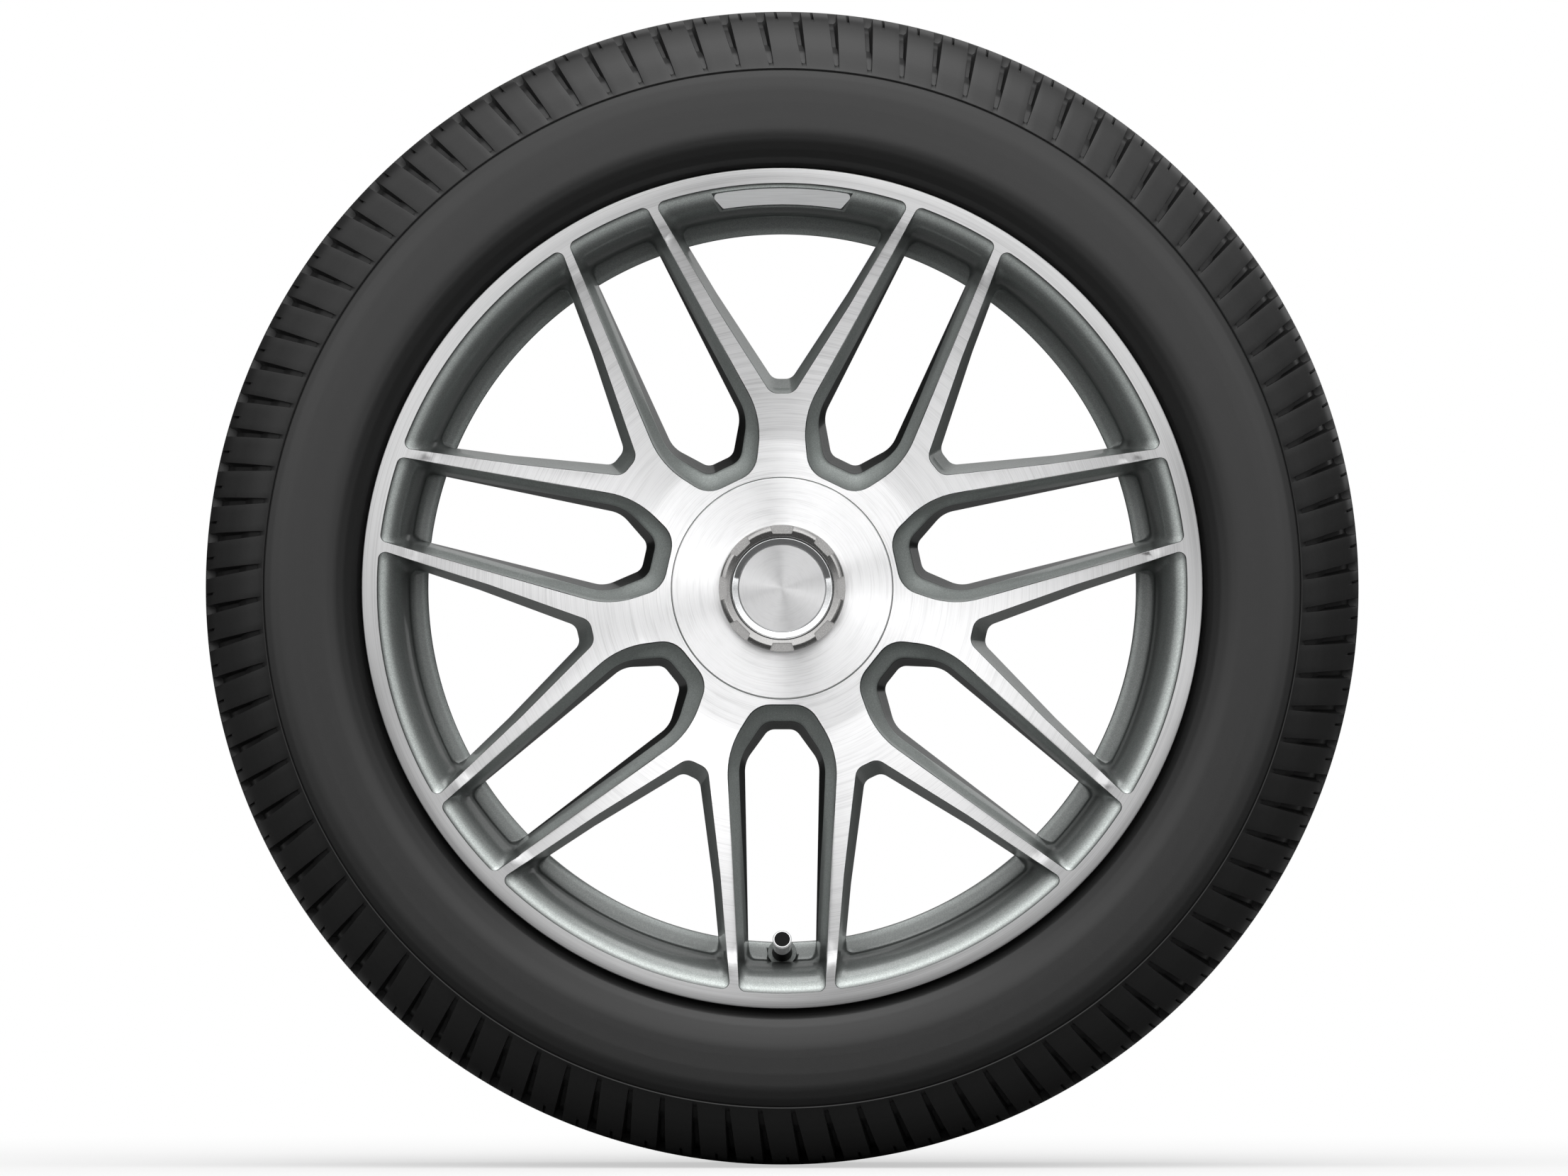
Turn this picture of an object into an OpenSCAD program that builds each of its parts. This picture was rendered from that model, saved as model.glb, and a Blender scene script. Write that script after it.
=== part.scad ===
// Wheel and tyre for a large road car: a one-piece forged wheel with seven U-shaped and seven
// V-shaped windows between fourteen spokes, its tyre, centre cover, valve, pressure sensor,
// balance weights and a bare plaque.
// Origin at the wheel's centre. The wheel spins about Y, its outer face looks along -Y, +Z is up.
// Everything is drawn along a local axis w that points out of the outer face, then laid down.

/* [Rim] */
// Radius of the bead seats where they meet the flanges
bead_r = 266.3; // [240:0.1:290]
// Height of the flanges above the bead seats
flange_h = 17.3; // [15:0.1:20]
// Distance between the two flanges' inner faces
rim_width = 241.3; // [215:0.1:270]
// Thickness of each flange
flange_t = 12.5; // [10:0.1:16]
// Width of each bead seat
seat_w = 22; // [18:0.5:26]
// Rise of each bead seat's safety hump
hump_h = 1.1; // [0.5:0.1:2]
// Depth of the drop centre below the bead seats
well_depth = 20.8; // [18:0.1:24]
// Width of the drop centre's floor
well_w = 38; // [30:1:50]
// Thickness of the drop centre's floor
well_t = 6; // [5:0.1:9]
// Width of the ramp from the drop centre to the barrel
well_ramp_w = 32; // [26:1:38]
// Width of the ramp from the barrel to the back bead seat
back_ramp_w = 30; // [24:1:36]
// Thickness of the barrel
barrel_t = 6; // [5:0.1:8]
// Width of the flat lip, from the flange's edge to the windows
lip_w = 10.5; // [8:0.1:14]
// Depth of the rolled surface between the lip and each window's back edge
roll_h = 36; // [30:0.5:40]
// Radial width of the rolled surface
roll_w = 21; // [17:0.5:23]
// Slope of the wall that carries the valve, from square to the axis
wall_slope = 20; // [14:1:24]
// Thickness of the wall that carries the valve
wall_t = 6.5; // [5.5:0.1:8]

/* [Disc] */
// Distance from the rim's middle plane to the mounting face
mount_offset = 52; // [40:1:60]
// Height of the hub's outer face above the mounting face
hub_h = 56; // [52:1:62]
// Radius of the hub's flat outer face
hub_flat_r = 100; // [92:1:110]
// Distance from the lip's inner edge to where the spokes turn up to the lip
kink_in = 26.1; // [23:0.1:30]
// Width of the step up from the spokes to the lip
kink_w = 9; // [6:0.5:12]
// Rise from the spokes to the lip
kink_h = 3.7; // [2:0.1:6]
// Width of the mounting face outside the hub's pocket
pad_w = 5.7; // [4:0.1:9]
// Height of the spokes' back above the mounting face at the hub
back_h = 15; // [12:0.5:18]
// Rise of the spokes' back from the hub to the rim
back_rise = 19.2; // [14:0.2:22]
// Number of U windows, and of V windows between them
window_count = 7; // [6:1:7]

/* [U windows] */
// Outer face: distance from the cover's recess to the window's hub end
u_front_gap = 3.8; // [3:0.1:7]
// Outer face: half width of the hub end's flat
u_front_hub_v = 17.8; // [15:0.1:20]
// Outer face: distance from the window's hub end to its shoulder
u_front_l = 31.5; // [26:0.1:36]
// Outer face: half width at the shoulder
u_front_sh_v = 37.4; // [34:0.1:39]
// Outer face: widening of one side per millimetre towards the rim
u_front_side = -0.0525; // [-0.08:0.0005:-0.03]
// Distance between the window's hub ends on the outer face and on the back
u_back_in = 16.5; // [14:0.1:19]
// Back: half width of the hub end's flat
u_back_hub_v = 9.1; // [7:0.1:11]
// Back: distance from the window's hub end to its shoulder
u_back_l = 22; // [18:0.1:26]
// Back: half width at the shoulder
u_back_sh_v = 25.2; // [22:0.1:27]
// Back: widening of one side per millimetre towards the rim
u_back_side = -0.0193; // [-0.03:0.0005:-0.01]
// Depth of the ridge on the window's walls
u_ridge_h = 14; // [10:0.5:20]
// Place of the ridge between the back outline, 0, and the front outline, 1
u_ridge_mix = 0.36; // [0.2:0.01:0.6]

/* [V windows] */
// Outer face: distance from the axis to the apex
v_front_hub = 131.7; // [129:0.1:136]
// Outer face: half width of the apex
v_front_hub_v = 7.7; // [6:0.1:9]
// Outer face: distance from the apex to the middle of the sides
v_front_l = 60.3; // [50:0.1:68]
// Outer face: width of the spoke beside the window, at the rim
spoke_w = 6.95; // [5.5:0.05:8]
// Outer face: widening of one side per millimetre towards the rim
v_front_side = 0.592; // [0.57:0.001:0.6]
// Distance between the window's apexes on the outer face and on the back
v_back_in = 9.9; // [7:0.1:13]
// Back: half width of the apex
v_back_hub_v = 6.3; // [4.5:0.1:8]
// Back: distance from the apex to the middle of the sides
v_back_l = 58.4; // [48:0.1:66]
// Back: width of the spoke beside the window, at the rim
spoke_back_w = 19.34; // [17:0.02:21]
// Back: widening of one side per millimetre towards the rim
v_back_side = 0.603; // [0.58:0.001:0.61]
// Place of the walls' middle between the back outline, 0, and the front outline, 1
v_ridge_mix = 0.62; // [0.5:0.01:0.7]

/* [Hub] */
// Radius of the centre bore
bore_r = 33.3; // [28:0.05:36]
// Diameter of the circle that the bolt holes lie on
bolt_pcd = 112; // [108:1:114]
// Number of bolt holes
bolt_count = 5; // [5:1:5]
// Radius of the bolt holes
bolt_r = 7.5; // [6.5:0.1:8]
// Radius of the pocket for each bolt's head
head_r = 13.2; // [12:0.1:14]
// Distance from the bolt heads' pockets to the wall of the hub's pocket
head_gap = 3.1; // [2:0.1:5]
// Depth of the hub's pocket under the cover
pocket_h = 28; // [25:0.5:30]
// Depth of each bolt's seat below the pocket's floor
head_h = 14; // [10:0.5:16]
// Radius of the lightening pockets in the mounting face
light_r = 8; // [6:0.5:9]
// Depth of the lightening pockets
light_h = 10; // [6:0.5:12]

/* [Cover] */
// Thickness of the cover's face
cover_t = 3.2; // [2.5:0.1:4]
// Gap between the cover and the wheel
cover_gap = 0.3; // [0.2:0.05:0.5]
// Width of the ledge that the cover's edge rests on
ledge_w = 2.9; // [2:0.1:4]
// Depth of the carrier's skirt behind the cover's face
skirt_h = 16; // [12:0.5:20]
// Thickness of the carrier's skirt
skirt_t = 3; // [2.5:0.1:3.2]
// Thickness of the carrier's plate
plate_t = 3; // [2:0.1:4]
// Radius of the retaining ring's wire
wire_r = 0.9; // [0.7:0.05:1]
// Radial width of the nut ring
nut_w = 7.9; // [7:0.1:10]
// Height of the nut ring above the cover
nut_h = 10; // [7:0.5:13]
// Number of notches in the nut ring
notch_count = 8; // [6:1:8]
// Radial depth of each notch
notch_w = 6; // [4:0.1:6.5]
// Half width of each notch's inner edge
notch_v = 6.4; // [5:0.1:7]
// Depth of the notches
notch_h = 4.5; // [2:0.1:6]
// Outer radius of the bright bezel
bezel_r = 34.6; // [33:0.1:35]
// Radial width of the bezel
bezel_w = 4.8; // [3:0.1:6]
// Height of the boss that carries the bezel and the plain disc, above the cover's face
boss_h = 3; // [1:0.5:5]
// Thickness of the plain disc
badge_t = 3; // [2:0.1:4]

/* [Plaque] */
// Distance from the lip's inner edge to the plaque's outer edge
plaque_edge = 3.3; // [2.4:0.1:4]
// Radial width of the plaque
plaque_w = 10.8; // [9:0.1:11]
// Half width of the plaque's inner edge
plaque_v = 39.7; // [35:0.1:42]
// Widening of each side of the plaque from its inner edge to its outer edge
plaque_flare = 8.6; // [7:0.1:9]
// Thickness of the plaque
plaque_t = 1; // [0.6:0.1:1.5]
// Half angle of the raised land that carries the plaque
land_half = 10.8; // [10.5:0.1:11.5]

/* [Tyre] */
// Height of the tyre above the rim's flanges
section_h = 107.3; // [98:0.1:116]
// Bulge of each sidewall beyond the flange's inner face, along the axis
side_bulge = 21.35; // [18:0.05:25]
// Radial height of the shoulder, from the rib that ends the sidewall to the tread's crown
shoulder_h = 40.7; // [37:0.1:45]
// Distance from the sidewall's plane to the tread's edge, along the axis
edge_drop = 38; // [34:0.5:42]
// Depth of the tread's grooves
tread_h = 8; // [6:0.1:8.5]
// Thickness of the sidewall
side_t = 10; // [8:0.5:11]
// Thickness of the crown under the grooves
crown_t = 11; // [9:0.5:13]
// Number of grooves around each shoulder
groove_count = 100; // [80:1:110]
// Width of a shoulder groove at the crease
groove_in = 2.7; // [2:0.1:3.5]
// Width of a shoulder groove at the tread's edge
groove_out = 6; // [4:0.1:7]
// Angle that a shoulder groove leans by
groove_lean = 1.35; // [0.8:0.05:1.6]
// Width of the grooves that run round the tread
ring_groove_w = 11; // [8:0.5:13]
// Distance from the middle to the inner pair of those grooves
ring_groove_a = 22; // [18:0.5:26]
// Distance from the middle to the outer pair
ring_groove_b = 68; // [62:0.5:72]
// Gap between the tyre and the rim
tyre_gap = 0.3; // [0.2:0.05:0.4]

/* [Valve] */
// Distance from the windows' back edge to the middle of the valve's seat
valve_in = 3.5; // [2.6:0.1:4.1]
// Radius of the hole for the valve
valve_hole_r = 5.75; // [5.6:0.05:5.9]
// Radius of the rubber's flange
flange_rubber_r = 8.8; // [8:0.1:9.2]
// Length of the rubber in front of the wall
rubber_front = 19.5; // [17:0.5:21]
// Length of the rubber behind the wall's front face
rubber_back = 22; // [19:0.5:24]
// Radius of the stem inside the rubber
stem_r = 2.95; // [2.9:0.05:3.2]
// Radius of the stem's threaded end
thread_r = 3.85; // [3.7:0.05:3.95]
// Length of the stem's threaded end
thread_l = 11.6; // [10:0.1:13]
// Radius of the bore that holds the valve core
core_bore_r = 2.4; // [2.3:0.05:2.5]
// Outer radius of the cap
cap_r = 6.5; // [6:0.05:7]
// Thickness of the cap's front
cap_t = 2.2; // [1.8:0.1:3]
// Radius of the insert in the cap's front
insert_r = 5.2; // [4.5:0.05:5.5]
// Travel of the valve's pin
pin_travel = 1.5; // [1:0.1:1.5]

/* [Pressure sensor and weights] */
// Length of the sensor's housing around the rim
sensor_l = 46; // [40:1:52]
// Width of the sensor's housing
sensor_w = 20; // [17:0.5:21]
// Thickness of the sensor's housing
sensor_t = 15; // [12:0.5:17]
// Number of balance weights
weight_count = 6; // [2:1:10]
// Angle at which the row of weights starts
weight_from = 40; // [0:1:180]
// Distance from the rim's middle plane to the row of weights
weight_in = 30; // [20:1:40]
// Length of one balance weight around the barrel
weight_l = 19; // [14:0.5:22]
// Width of one balance weight
weight_w = 19; // [15:0.5:22]
// Thickness of one balance weight
weight_t = 4; // [3:0.1:5]

/* [Hidden] */
$fn = 144;
// Half width of the rim between its flanges, and the plane of the lip
rim_half = rim_width / 2;
lip_z = rim_half + flange_t;
flange_r = bead_r + flange_h;
lip_in_r = flange_r - lip_w;
// Radii of the well's outside and inside and of the barrel
seat_drop = seat_w * tan(5);
well_r = bead_r - well_depth;
bore_well_r = well_r - well_t;
barrel_out_r = bead_r - 6.8;
barrel_in_r = barrel_out_r - barrel_t - 1.5;
// Rolled surface from the lip to the windows' back edge, and the valve's wall behind it
roll_r = lip_in_r - roll_w;
roll_z = lip_z - roll_h - 1;
wall_z = roll_z - 4;
wall_in_z = wall_z - (roll_r - bore_well_r) * tan(wall_slope);
well_z = wall_in_z - wall_t;
// Planes of the hub
pad_z = mount_offset;
hub_z = pad_z + hub_h;
floor_z = hub_z - pocket_h;
back_z = pad_z + back_h;
kink_z = lip_z - kink_h;
kink_r = lip_in_r - kink_in;
// Hub's pocket around the bolts, and the centre cover over it
pocket_r = bolt_pcd / 2 + head_r + head_gap;
pad_r = pocket_r + pad_w;
recess_r = pocket_r + ledge_w;
cover_r = recess_r - cover_gap;
nut_r = bezel_r + 0.3 + nut_w;
notch_in = nut_r - notch_w;
carrier_r = pocket_r - cover_gap;
ledge_z = hub_z - cover_t;
boss_z = hub_z + boss_h;
// Windows: hub ends, shoulders, and the V windows' half widths from the spokes' widths
u_front_hub = recess_r + u_front_gap;
u_front_sh = u_front_hub + u_front_l;
u_back_hub = u_front_hub + u_back_in;
u_back_sh = u_back_hub + u_back_l;
v_front_sh = v_front_hub + v_front_l;
v_back_hub = v_front_hub + v_back_in;
v_back_sh = v_back_hub + v_back_l;
v_front_sh_v = beside(u_front_sh_v + u_front_side * (kink_r - u_front_sh), spoke_w, v_front_side, v_front_sh);
v_back_sh_v = beside(u_back_sh_v + u_back_side * (kink_r - u_back_sh), spoke_back_w, v_back_side, v_back_sh);
// Land and plaque
plaque_in = lip_in_r - plaque_edge - plaque_w;
land_slope = 16;
plaque_gap = 0.1;
// Valve: origin in the middle of its seat, along its own axis
valve_angle = 270;
valve_seat_r = roll_r - valve_in;
valve_seat_z = wall_z - valve_in * tan(wall_slope);
spot_r = flange_rubber_r + 0.8;
spot_h = 6;
inner_spot_r = 8.3;
stem_top = rubber_front + 0.4 + thread_l;
seal_t = 0.6;
cap_inner_z = stem_top + 0.1 + seal_t;
cap_top = cap_inner_z + cap_t;
cap_foot = rubber_front + 0.3;
core_foot = stem_top - 16.5;
core_top = stem_top - 3.5;
pin_top = stem_top - 1;
// Tyre
tyre_r = flange_r + section_h;
half_w = rim_half + side_bulge;
tyre_w = 2 * half_w;
floor_r = tyre_r - tread_h;
crease_r = tyre_r - shoulder_h;
side_h = crease_r - flange_r;
edge_z = half_w - edge_drop;
pitch = 360 / groove_count;

// Unit vector, and the point of a corner b between a and c rounded by radius r in n steps
function unit(p) = p / norm(p);
function corner(a, b, c, r, n) = r <= 0 ? [b] : let(
    p = unit(a - b),
    q = unit(c - b),
    half = acos(max(-1, min(1, p * q))) / 2,
    centre = b + unit(p + q) * r / sin(half),
    start = b + p * r / tan(half) - centre,
    finish = b + q * r / tan(half) - centre,
    from = atan2(start.y, start.x),
    sweep = (atan2(finish.y, finish.x) - from + 540) % 360 - 180)
    [for (i = [0:n]) centre + r * [cos(from + sweep * i / n), sin(from + sweep * i / n)]];
// Half width of a V window at u, one spoke of width w away from the point (kink_r, v) of a U window's side
function beside(v, w, slope, u) = let(turn = 180 / window_count)
    kink_r * sin(turn) - v * cos(turn) - w * sqrt(1 + slope * slope)
    - slope * (kink_r * cos(turn) + v * sin(turn) - u);
// Outline whose points are [x, y, corner radius]
function rounded(p, n = 4) = let(m = len(p)) [for (i = [0:m - 1]) each corner(
    [p[(i + m - 1) % m].x, p[(i + m - 1) % m].y], [p[i].x, p[i].y],
    [p[(i + 1) % m].x, p[(i + 1) % m].y], p[i][2], n)];

// Lays what is drawn along w down along the row's Y axis
module lay() { rotate([90, 0, 0]) children(); }

// Height of the outer face, and of the spokes' back, at a radius
function face_z(r) = r < hub_flat_r ? hub_z
    : r < kink_r ? hub_z + (kink_z - hub_z) * (r - hub_flat_r) / (kink_r - hub_flat_r)
    : min(lip_z, kink_z + kink_h * (r - kink_r) / kink_w);
function spoke_back_z(r) = back_z + back_rise * (r - pad_r) / (roll_r - pad_r);
// Radius of the rolled surface at a height
function roll_at(z) = lip_in_r - roll_w * sqrt(max(0, 1 - pow(max(0, min(1, (z - roll_z) / roll_h)), 2)));

// A window's outline: hub corner, shoulder, sides of one slope, and an arc of radius r at the rim
function rim_corner(p, m, r) = let(b = p.y - m * p.x, u = (sqrt(r * r * (1 + m * m) - b * b) - m * b) / (1 + m * m))
    [u, m * u + b];
function window_outline(w, r) = let(
    e = rim_corner(w[1], w[2], r),
    half = [[w[0][0], w[0][1], w[0][2]], [w[1][0], w[1][1], w[1][2]], [e.x, e.y, w[3]]],
    a = atan2(e.y, e.x),
    arc = [for (k = [-1:1]) [r * cos(a * k / 2), r * sin(a * k / 2), 0]])
    rounded(concat([for (k = [0:2]) [half[k].x, -half[k].y, half[k][2]]], arc, [for (k = [2:-1:0]) half[k]]), 3);

u_front = [[u_front_hub, u_front_hub_v, 18], [u_front_sh, u_front_sh_v, 58], u_front_side, 5];
u_back = [[u_back_hub, u_back_hub_v, 8], [u_back_sh, u_back_sh_v, 20], u_back_side, 6];
v_front = [[v_front_hub, v_front_hub_v, 9], [v_front_sh, v_front_sh_v, 40], v_front_side, 4.5];
v_back = [[v_back_hub, v_back_hub_v, 7.5], [v_back_sh, v_back_sh_v, 40], v_back_side, 6];

// Cutter for one window: lofted from above the outer face, through a ridge, to below the back
module window_cutter(front, back, mix) {
    ridge = back + (front - back) * mix;
    ridge_r = roll_at(lip_z - u_ridge_h) + 0.8;
    top2 = window_outline(front, lip_in_r + 1);
    mid2 = window_outline(ridge, ridge_r);
    low2 = window_outline(back, roll_r + 1.2);
    n = len(top2);
    top = [for (p = top2) [p.x, p.y, face_z(norm(p))]];
    mid = [for (i = [0:n - 1]) [mid2[i].x, mid2[i].y, top[i].z - u_ridge_h]];
    low = [for (p = low2) [p.x, p.y, spoke_back_z(norm(p))]];
    above = [for (i = [0:n - 1]) top[i] + (top[i] - mid[i]) * 0.35];
    below = [for (i = [0:n - 1]) low[i] + (low[i] - mid[i]) * 0.4];
    polyhedron(concat(below, mid, above), concat(
        [[for (i = [0:n - 1]) i]],
        [[for (i = [n - 1:-1:0]) 2 * n + i]],
        [for (k = [0:1], i = [0:n - 1]) each [
            [k * n + i, (k + 1) * n + i, (k + 1) * n + (i + 1) % n],
            [k * n + i, (k + 1) * n + (i + 1) % n, k * n + (i + 1) % n]]]));
}

// Barrel, flanges, lip, rolled surface and drop centre
module barrel() {
    hump_z = rim_half - seat_w - 2.2;
    seat_r = bead_r - seat_drop;
    rotate_extrude() polygon(rounded([
        [flange_r, lip_z, 1],
        [flange_r, rim_half, 4],
        [bead_r, rim_half, 6],
        [seat_r, rim_half - seat_w, 0],
        [seat_r + hump_h, hump_z, 1.5],
        [bead_r - 3.8, wall_in_z - wall_t + (bead_r - 3.8 - bore_well_r) * tan(wall_slope), 3],
        [well_r, well_z + (well_r - bore_well_r) * tan(wall_slope), 3],
        [well_r, well_z - well_w, 10],
        [barrel_out_r - 2, well_z - well_w - well_ramp_w, 20],
        [barrel_out_r, seat_w + back_ramp_w - rim_half, 0],
        [bead_r - 3.8, 8 - hump_z, 3],
        [seat_r + hump_h, -hump_z, 1.5],
        [seat_r, seat_w - rim_half, 0],
        [bead_r, -rim_half, 6],
        [flange_r, -rim_half, 4],
        [flange_r, -lip_z, 1],
        [flange_r - 16, -lip_z, 3],
        [bead_r - 9, 3 - rim_half, 8],
        [barrel_in_r, seat_w + back_ramp_w - 2 - rim_half, 0],
        [barrel_in_r, well_z - well_w - well_ramp_w - 3, 20],
        [bore_well_r, well_z - well_w, 12],
        [bore_well_r, wall_in_z, 1.2],
        [roll_r, wall_z, 2.5],
        each [for (a = [0:15:75]) [lip_in_r - roll_w * cos(a), roll_z + roll_h * sin(a), 0]],
        [lip_in_r - 0.8, lip_z - 1.1, 0],
        [lip_in_r, lip_z, 0]]));
}

// Hub and the plate that the windows leave as spokes
module disc() {
    rotate_extrude() polygon([
        [bore_r, pad_z + 1.5],
        [bore_r + 1.5, pad_z],
        [pad_r, pad_z],
        [pad_r + 2, pad_z + 2],
        [pad_r + 5, back_z],
        [bore_well_r + 0.5, spoke_back_z(bore_well_r)],
        [roll_r - 2, wall_z - 4],
        [roll_r + 5, roll_z],
        [roll_r + 9, lip_z - flange_t],
        [lip_in_r + 3, lip_z - 4],
        [lip_in_r + 3, lip_z],
        [kink_r + kink_w, lip_z],
        [kink_r, kink_z],
        [hub_flat_r, hub_z],
        [recess_r, hub_z],
        [recess_r, ledge_z],
        [pocket_r, ledge_z],
        [pocket_r, floor_z],
        [bore_r + 1, floor_z],
        [bore_r, floor_z - 1]]);
}

// Raised land for the plaque
module land() {
    in_r = plaque_in - 2;
    out_r = lip_in_r - 1;
    rotate(90 - land_half) rotate_extrude(angle = 2 * land_half) polygon([
        [in_r, land_z(in_r)],
        [in_r, lip_z - 16],
        [in_r + 5, lip_z - 16],
        [out_r, lip_z - 6],
        [out_r, land_z(out_r)]]);
}
// Height of the land's face at a radius
function land_z(r) = lip_z - 0.8 - (lip_in_r - 1 - r) * tan(land_slope);

// Puts what is drawn along the valve's own axis at its seat
module at_valve() {
    lay() rotate(valve_angle) translate([valve_seat_r, 0, valve_seat_z]) rotate([0, -wall_slope, 0]) children();
}

module wheel() color([0.42, 0.44, 0.43]) difference() {
    lay() {
        difference() {
            union() {
                barrel();
                difference() {
                    disc();
                    for (k = [0:window_count - 1]) {
                        rotate(270 + k * 360 / window_count) window_cutter(u_front, u_back, u_ridge_mix);
                        rotate(90 + k * 360 / window_count) window_cutter(v_front, v_back, v_ridge_mix);
                    }
                }
                land();
            }
            for (k = [0:bolt_count - 1]) rotate(90 + k * 360 / bolt_count) {
                translate([bolt_pcd / 2, 0, pad_z - 1]) cylinder(r = bolt_r, h = pocket_h + 40);
                translate([bolt_pcd / 2, 0, floor_z - head_h]) cylinder(r1 = bolt_r, r2 = head_r, h = 6);
                translate([bolt_pcd / 2, 0, floor_z - head_h + 6]) cylinder(r = head_r, h = head_h);
                rotate(180 / bolt_count) translate([bolt_pcd / 2 + 3, 0, pad_z - 1])
                    cylinder(r = light_r, h = light_h + 1);
            }
        }
    }
    at_valve() {
        translate([0, 0, -30]) cylinder(r = valve_hole_r, h = 40);
        cylinder(r = spot_r, h = spot_h);
        translate([0, 0, -wall_t - 30]) cylinder(r = inner_spot_r, h = 30);
    }
}

// Outer line of the tyre's sidewall from the flange to the crease
function side_line() = [
    [flange_r + tyre_gap, rim_half + 5.5, 0],
    [flange_r + side_h * 0.1, half_w - 8.5, side_h * 0.2],
    [flange_r + side_h * 0.36, half_w - 1.6, side_h * 0.85],
    [flange_r + side_h * 0.66, half_w, side_h * 0.75],
    [crease_r - 0.6, half_w - 4.6, 0]];
// Inner line from the crown's middle to the bead
function inner_line() = [
    [floor_r - crown_t, 0, 0],
    [floor_r - crown_t - 1, edge_z - 14, shoulder_h * 0.6],
    [crease_r - 2, half_w - side_t - 8, side_h * 0.3],
    [crease_r - side_h * 0.25, half_w - side_t, side_h * 0.5],
    [flange_r + side_h * 0.33, half_w - side_t, side_h * 0.45],
    [flange_r + 2, rim_half - 13, side_h * 0.12],
    [bead_r + 6, rim_half - seat_w + 1, 3]];
// Half of the carcass up to the grooves' floor, from the crown's middle out and back
function carcass_half() = let(seat = bead_r + tyre_gap) concat([
    [seat - (seat_w - 2) * tan(5), rim_half - seat_w + 2, 2],
    [seat, rim_half - tyre_gap, 7],
    [flange_r + tyre_gap, rim_half - tyre_gap, 1]],
    side_line(), [
    [crease_r, half_w - 9, 0],
    [crease_r + shoulder_h * 0.49, half_w - edge_drop * 0.55, 0],
    [floor_r - 2, edge_z + 2, 0],
    [floor_r, edge_z - 12, 0]]);
function flip(p) = [for (k = [len(p) - 1:-1:0]) [p[k].x, -p[k].y, p[k][2]]];
function crown_r(z) = tyre_r - 3.4 * pow(z / edge_z, 2);

// One shoulder's tread band, before its grooves
module shoulder_band() {
    in_z = ring_groove_b + ring_groove_w / 2;
    rotate_extrude() polygon(rounded([
        [crease_r - 1.4, half_w - 5.4, 0],
        [crease_r, half_w - 4.2, 0],
        [crease_r + 1.4, half_w - 5.6, 0],
        [crease_r + shoulder_h * 0.54, half_w - edge_drop * 0.434, shoulder_h],
        [crown_r(edge_z) - 2, edge_z + 4, 7],
        [crown_r(edge_z), edge_z - 5, 0],
        [crown_r(in_z), in_z, 0],
        [floor_r - 3, in_z, 0],
        [floor_r - 3, edge_z - 14, 0],
        [crease_r + shoulder_h * 0.44, half_w - edge_drop * 0.63, 0],
        [crease_r - 1.4, half_w - 12, 0]], 1));
}

module tyre() color([0.09, 0.09, 0.09]) lay() {
    half = carcass_half();
    rib_z = ring_groove_b - ring_groove_w / 2;
    rib_in = ring_groove_a + ring_groove_w / 2;
    rib_mid = ring_groove_a - ring_groove_w / 2;
    rotate_extrude() polygon(rounded(concat(half, flip(half), flip(inner_line()),
        [for (k = [1:len(inner_line()) - 1]) inner_line()[k]])));
    // Ribs round the middle of the tread
    rotate_extrude() polygon([[floor_r - 2, -rib_mid], [crown_r(rib_mid), -rib_mid], [tyre_r, 0],
        [crown_r(rib_mid), rib_mid], [floor_r - 2, rib_mid]]);
    for (s = [-1, 1]) rotate_extrude() polygon([[floor_r - 2, s * rib_in], [crown_r(rib_in), s * rib_in],
        [crown_r(rib_z), s * rib_z], [floor_r - 2, s * rib_z]]);
    // Shoulders with their leaning grooves
    difference() {
        union() {
            shoulder_band();
            mirror([0, 0, 1]) shoulder_band();
        }
        for (k = [0:groove_count - 1]) rotate(k * pitch)
            translate([0, 0, -half_w]) linear_extrude(tyre_w) shoulder_groove();
    }
}

// Outline of one leaning shoulder groove, seen from the wheel's face
module shoulder_groove() {
    phase = pitch * 0.305;
    in_r = crease_r + 1.8;
    out_r = tyre_r + 6;
    a = phase;
    b = phase + groove_lean;
    polygon([
        in_r * [cos(a), sin(a)] + groove_in / 2 * [sin(a), -cos(a)],
        out_r * [cos(b), sin(b)] + groove_out / 2 * [sin(b), -cos(b)],
        out_r * [cos(b), sin(b)] - groove_out / 2 * [sin(b), -cos(b)],
        in_r * [cos(a), sin(a)] - groove_in / 2 * [sin(a), -cos(a)]]);
}

module cover_face() color([0.86, 0.87, 0.88]) lay() rotate_extrude() polygon([
    [bezel_r + 0.3, ledge_z], [cover_r, ledge_z], [cover_r, hub_z - 0.8], [cover_r - 0.8, hub_z],
    [bezel_r + 0.3, hub_z]]);

module cover_carrier() color([0.1, 0.1, 0.11]) lay() rotate_extrude() polygon([
    [0, ledge_z - plate_t],
    [carrier_r - skirt_t, ledge_z - plate_t],
    [carrier_r - skirt_t, ledge_z - skirt_h],
    [carrier_r - 0.8, ledge_z - skirt_h],
    [carrier_r, ledge_z - skirt_h + 0.8],
    [carrier_r, wire_z() - wire_r - 0.15],
    [carrier_r - 2 * wire_r - 0.1, wire_z() - wire_r - 0.15],
    [carrier_r - 2 * wire_r - 0.1, wire_z() + wire_r + 0.15],
    [carrier_r, wire_z() + wire_r + 0.15],
    [carrier_r, ledge_z],
    [bezel_r, ledge_z],
    [bezel_r, boss_z],
    [0, boss_z]]);
function wire_z() = ledge_z - skirt_h + 4.5;

module cover_retaining_ring() color([0.7, 0.7, 0.72]) lay() rotate(8)
    rotate_extrude(angle = 344) translate([carrier_r - wire_r, wire_z()]) circle(r = wire_r, $fn = 24);

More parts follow.
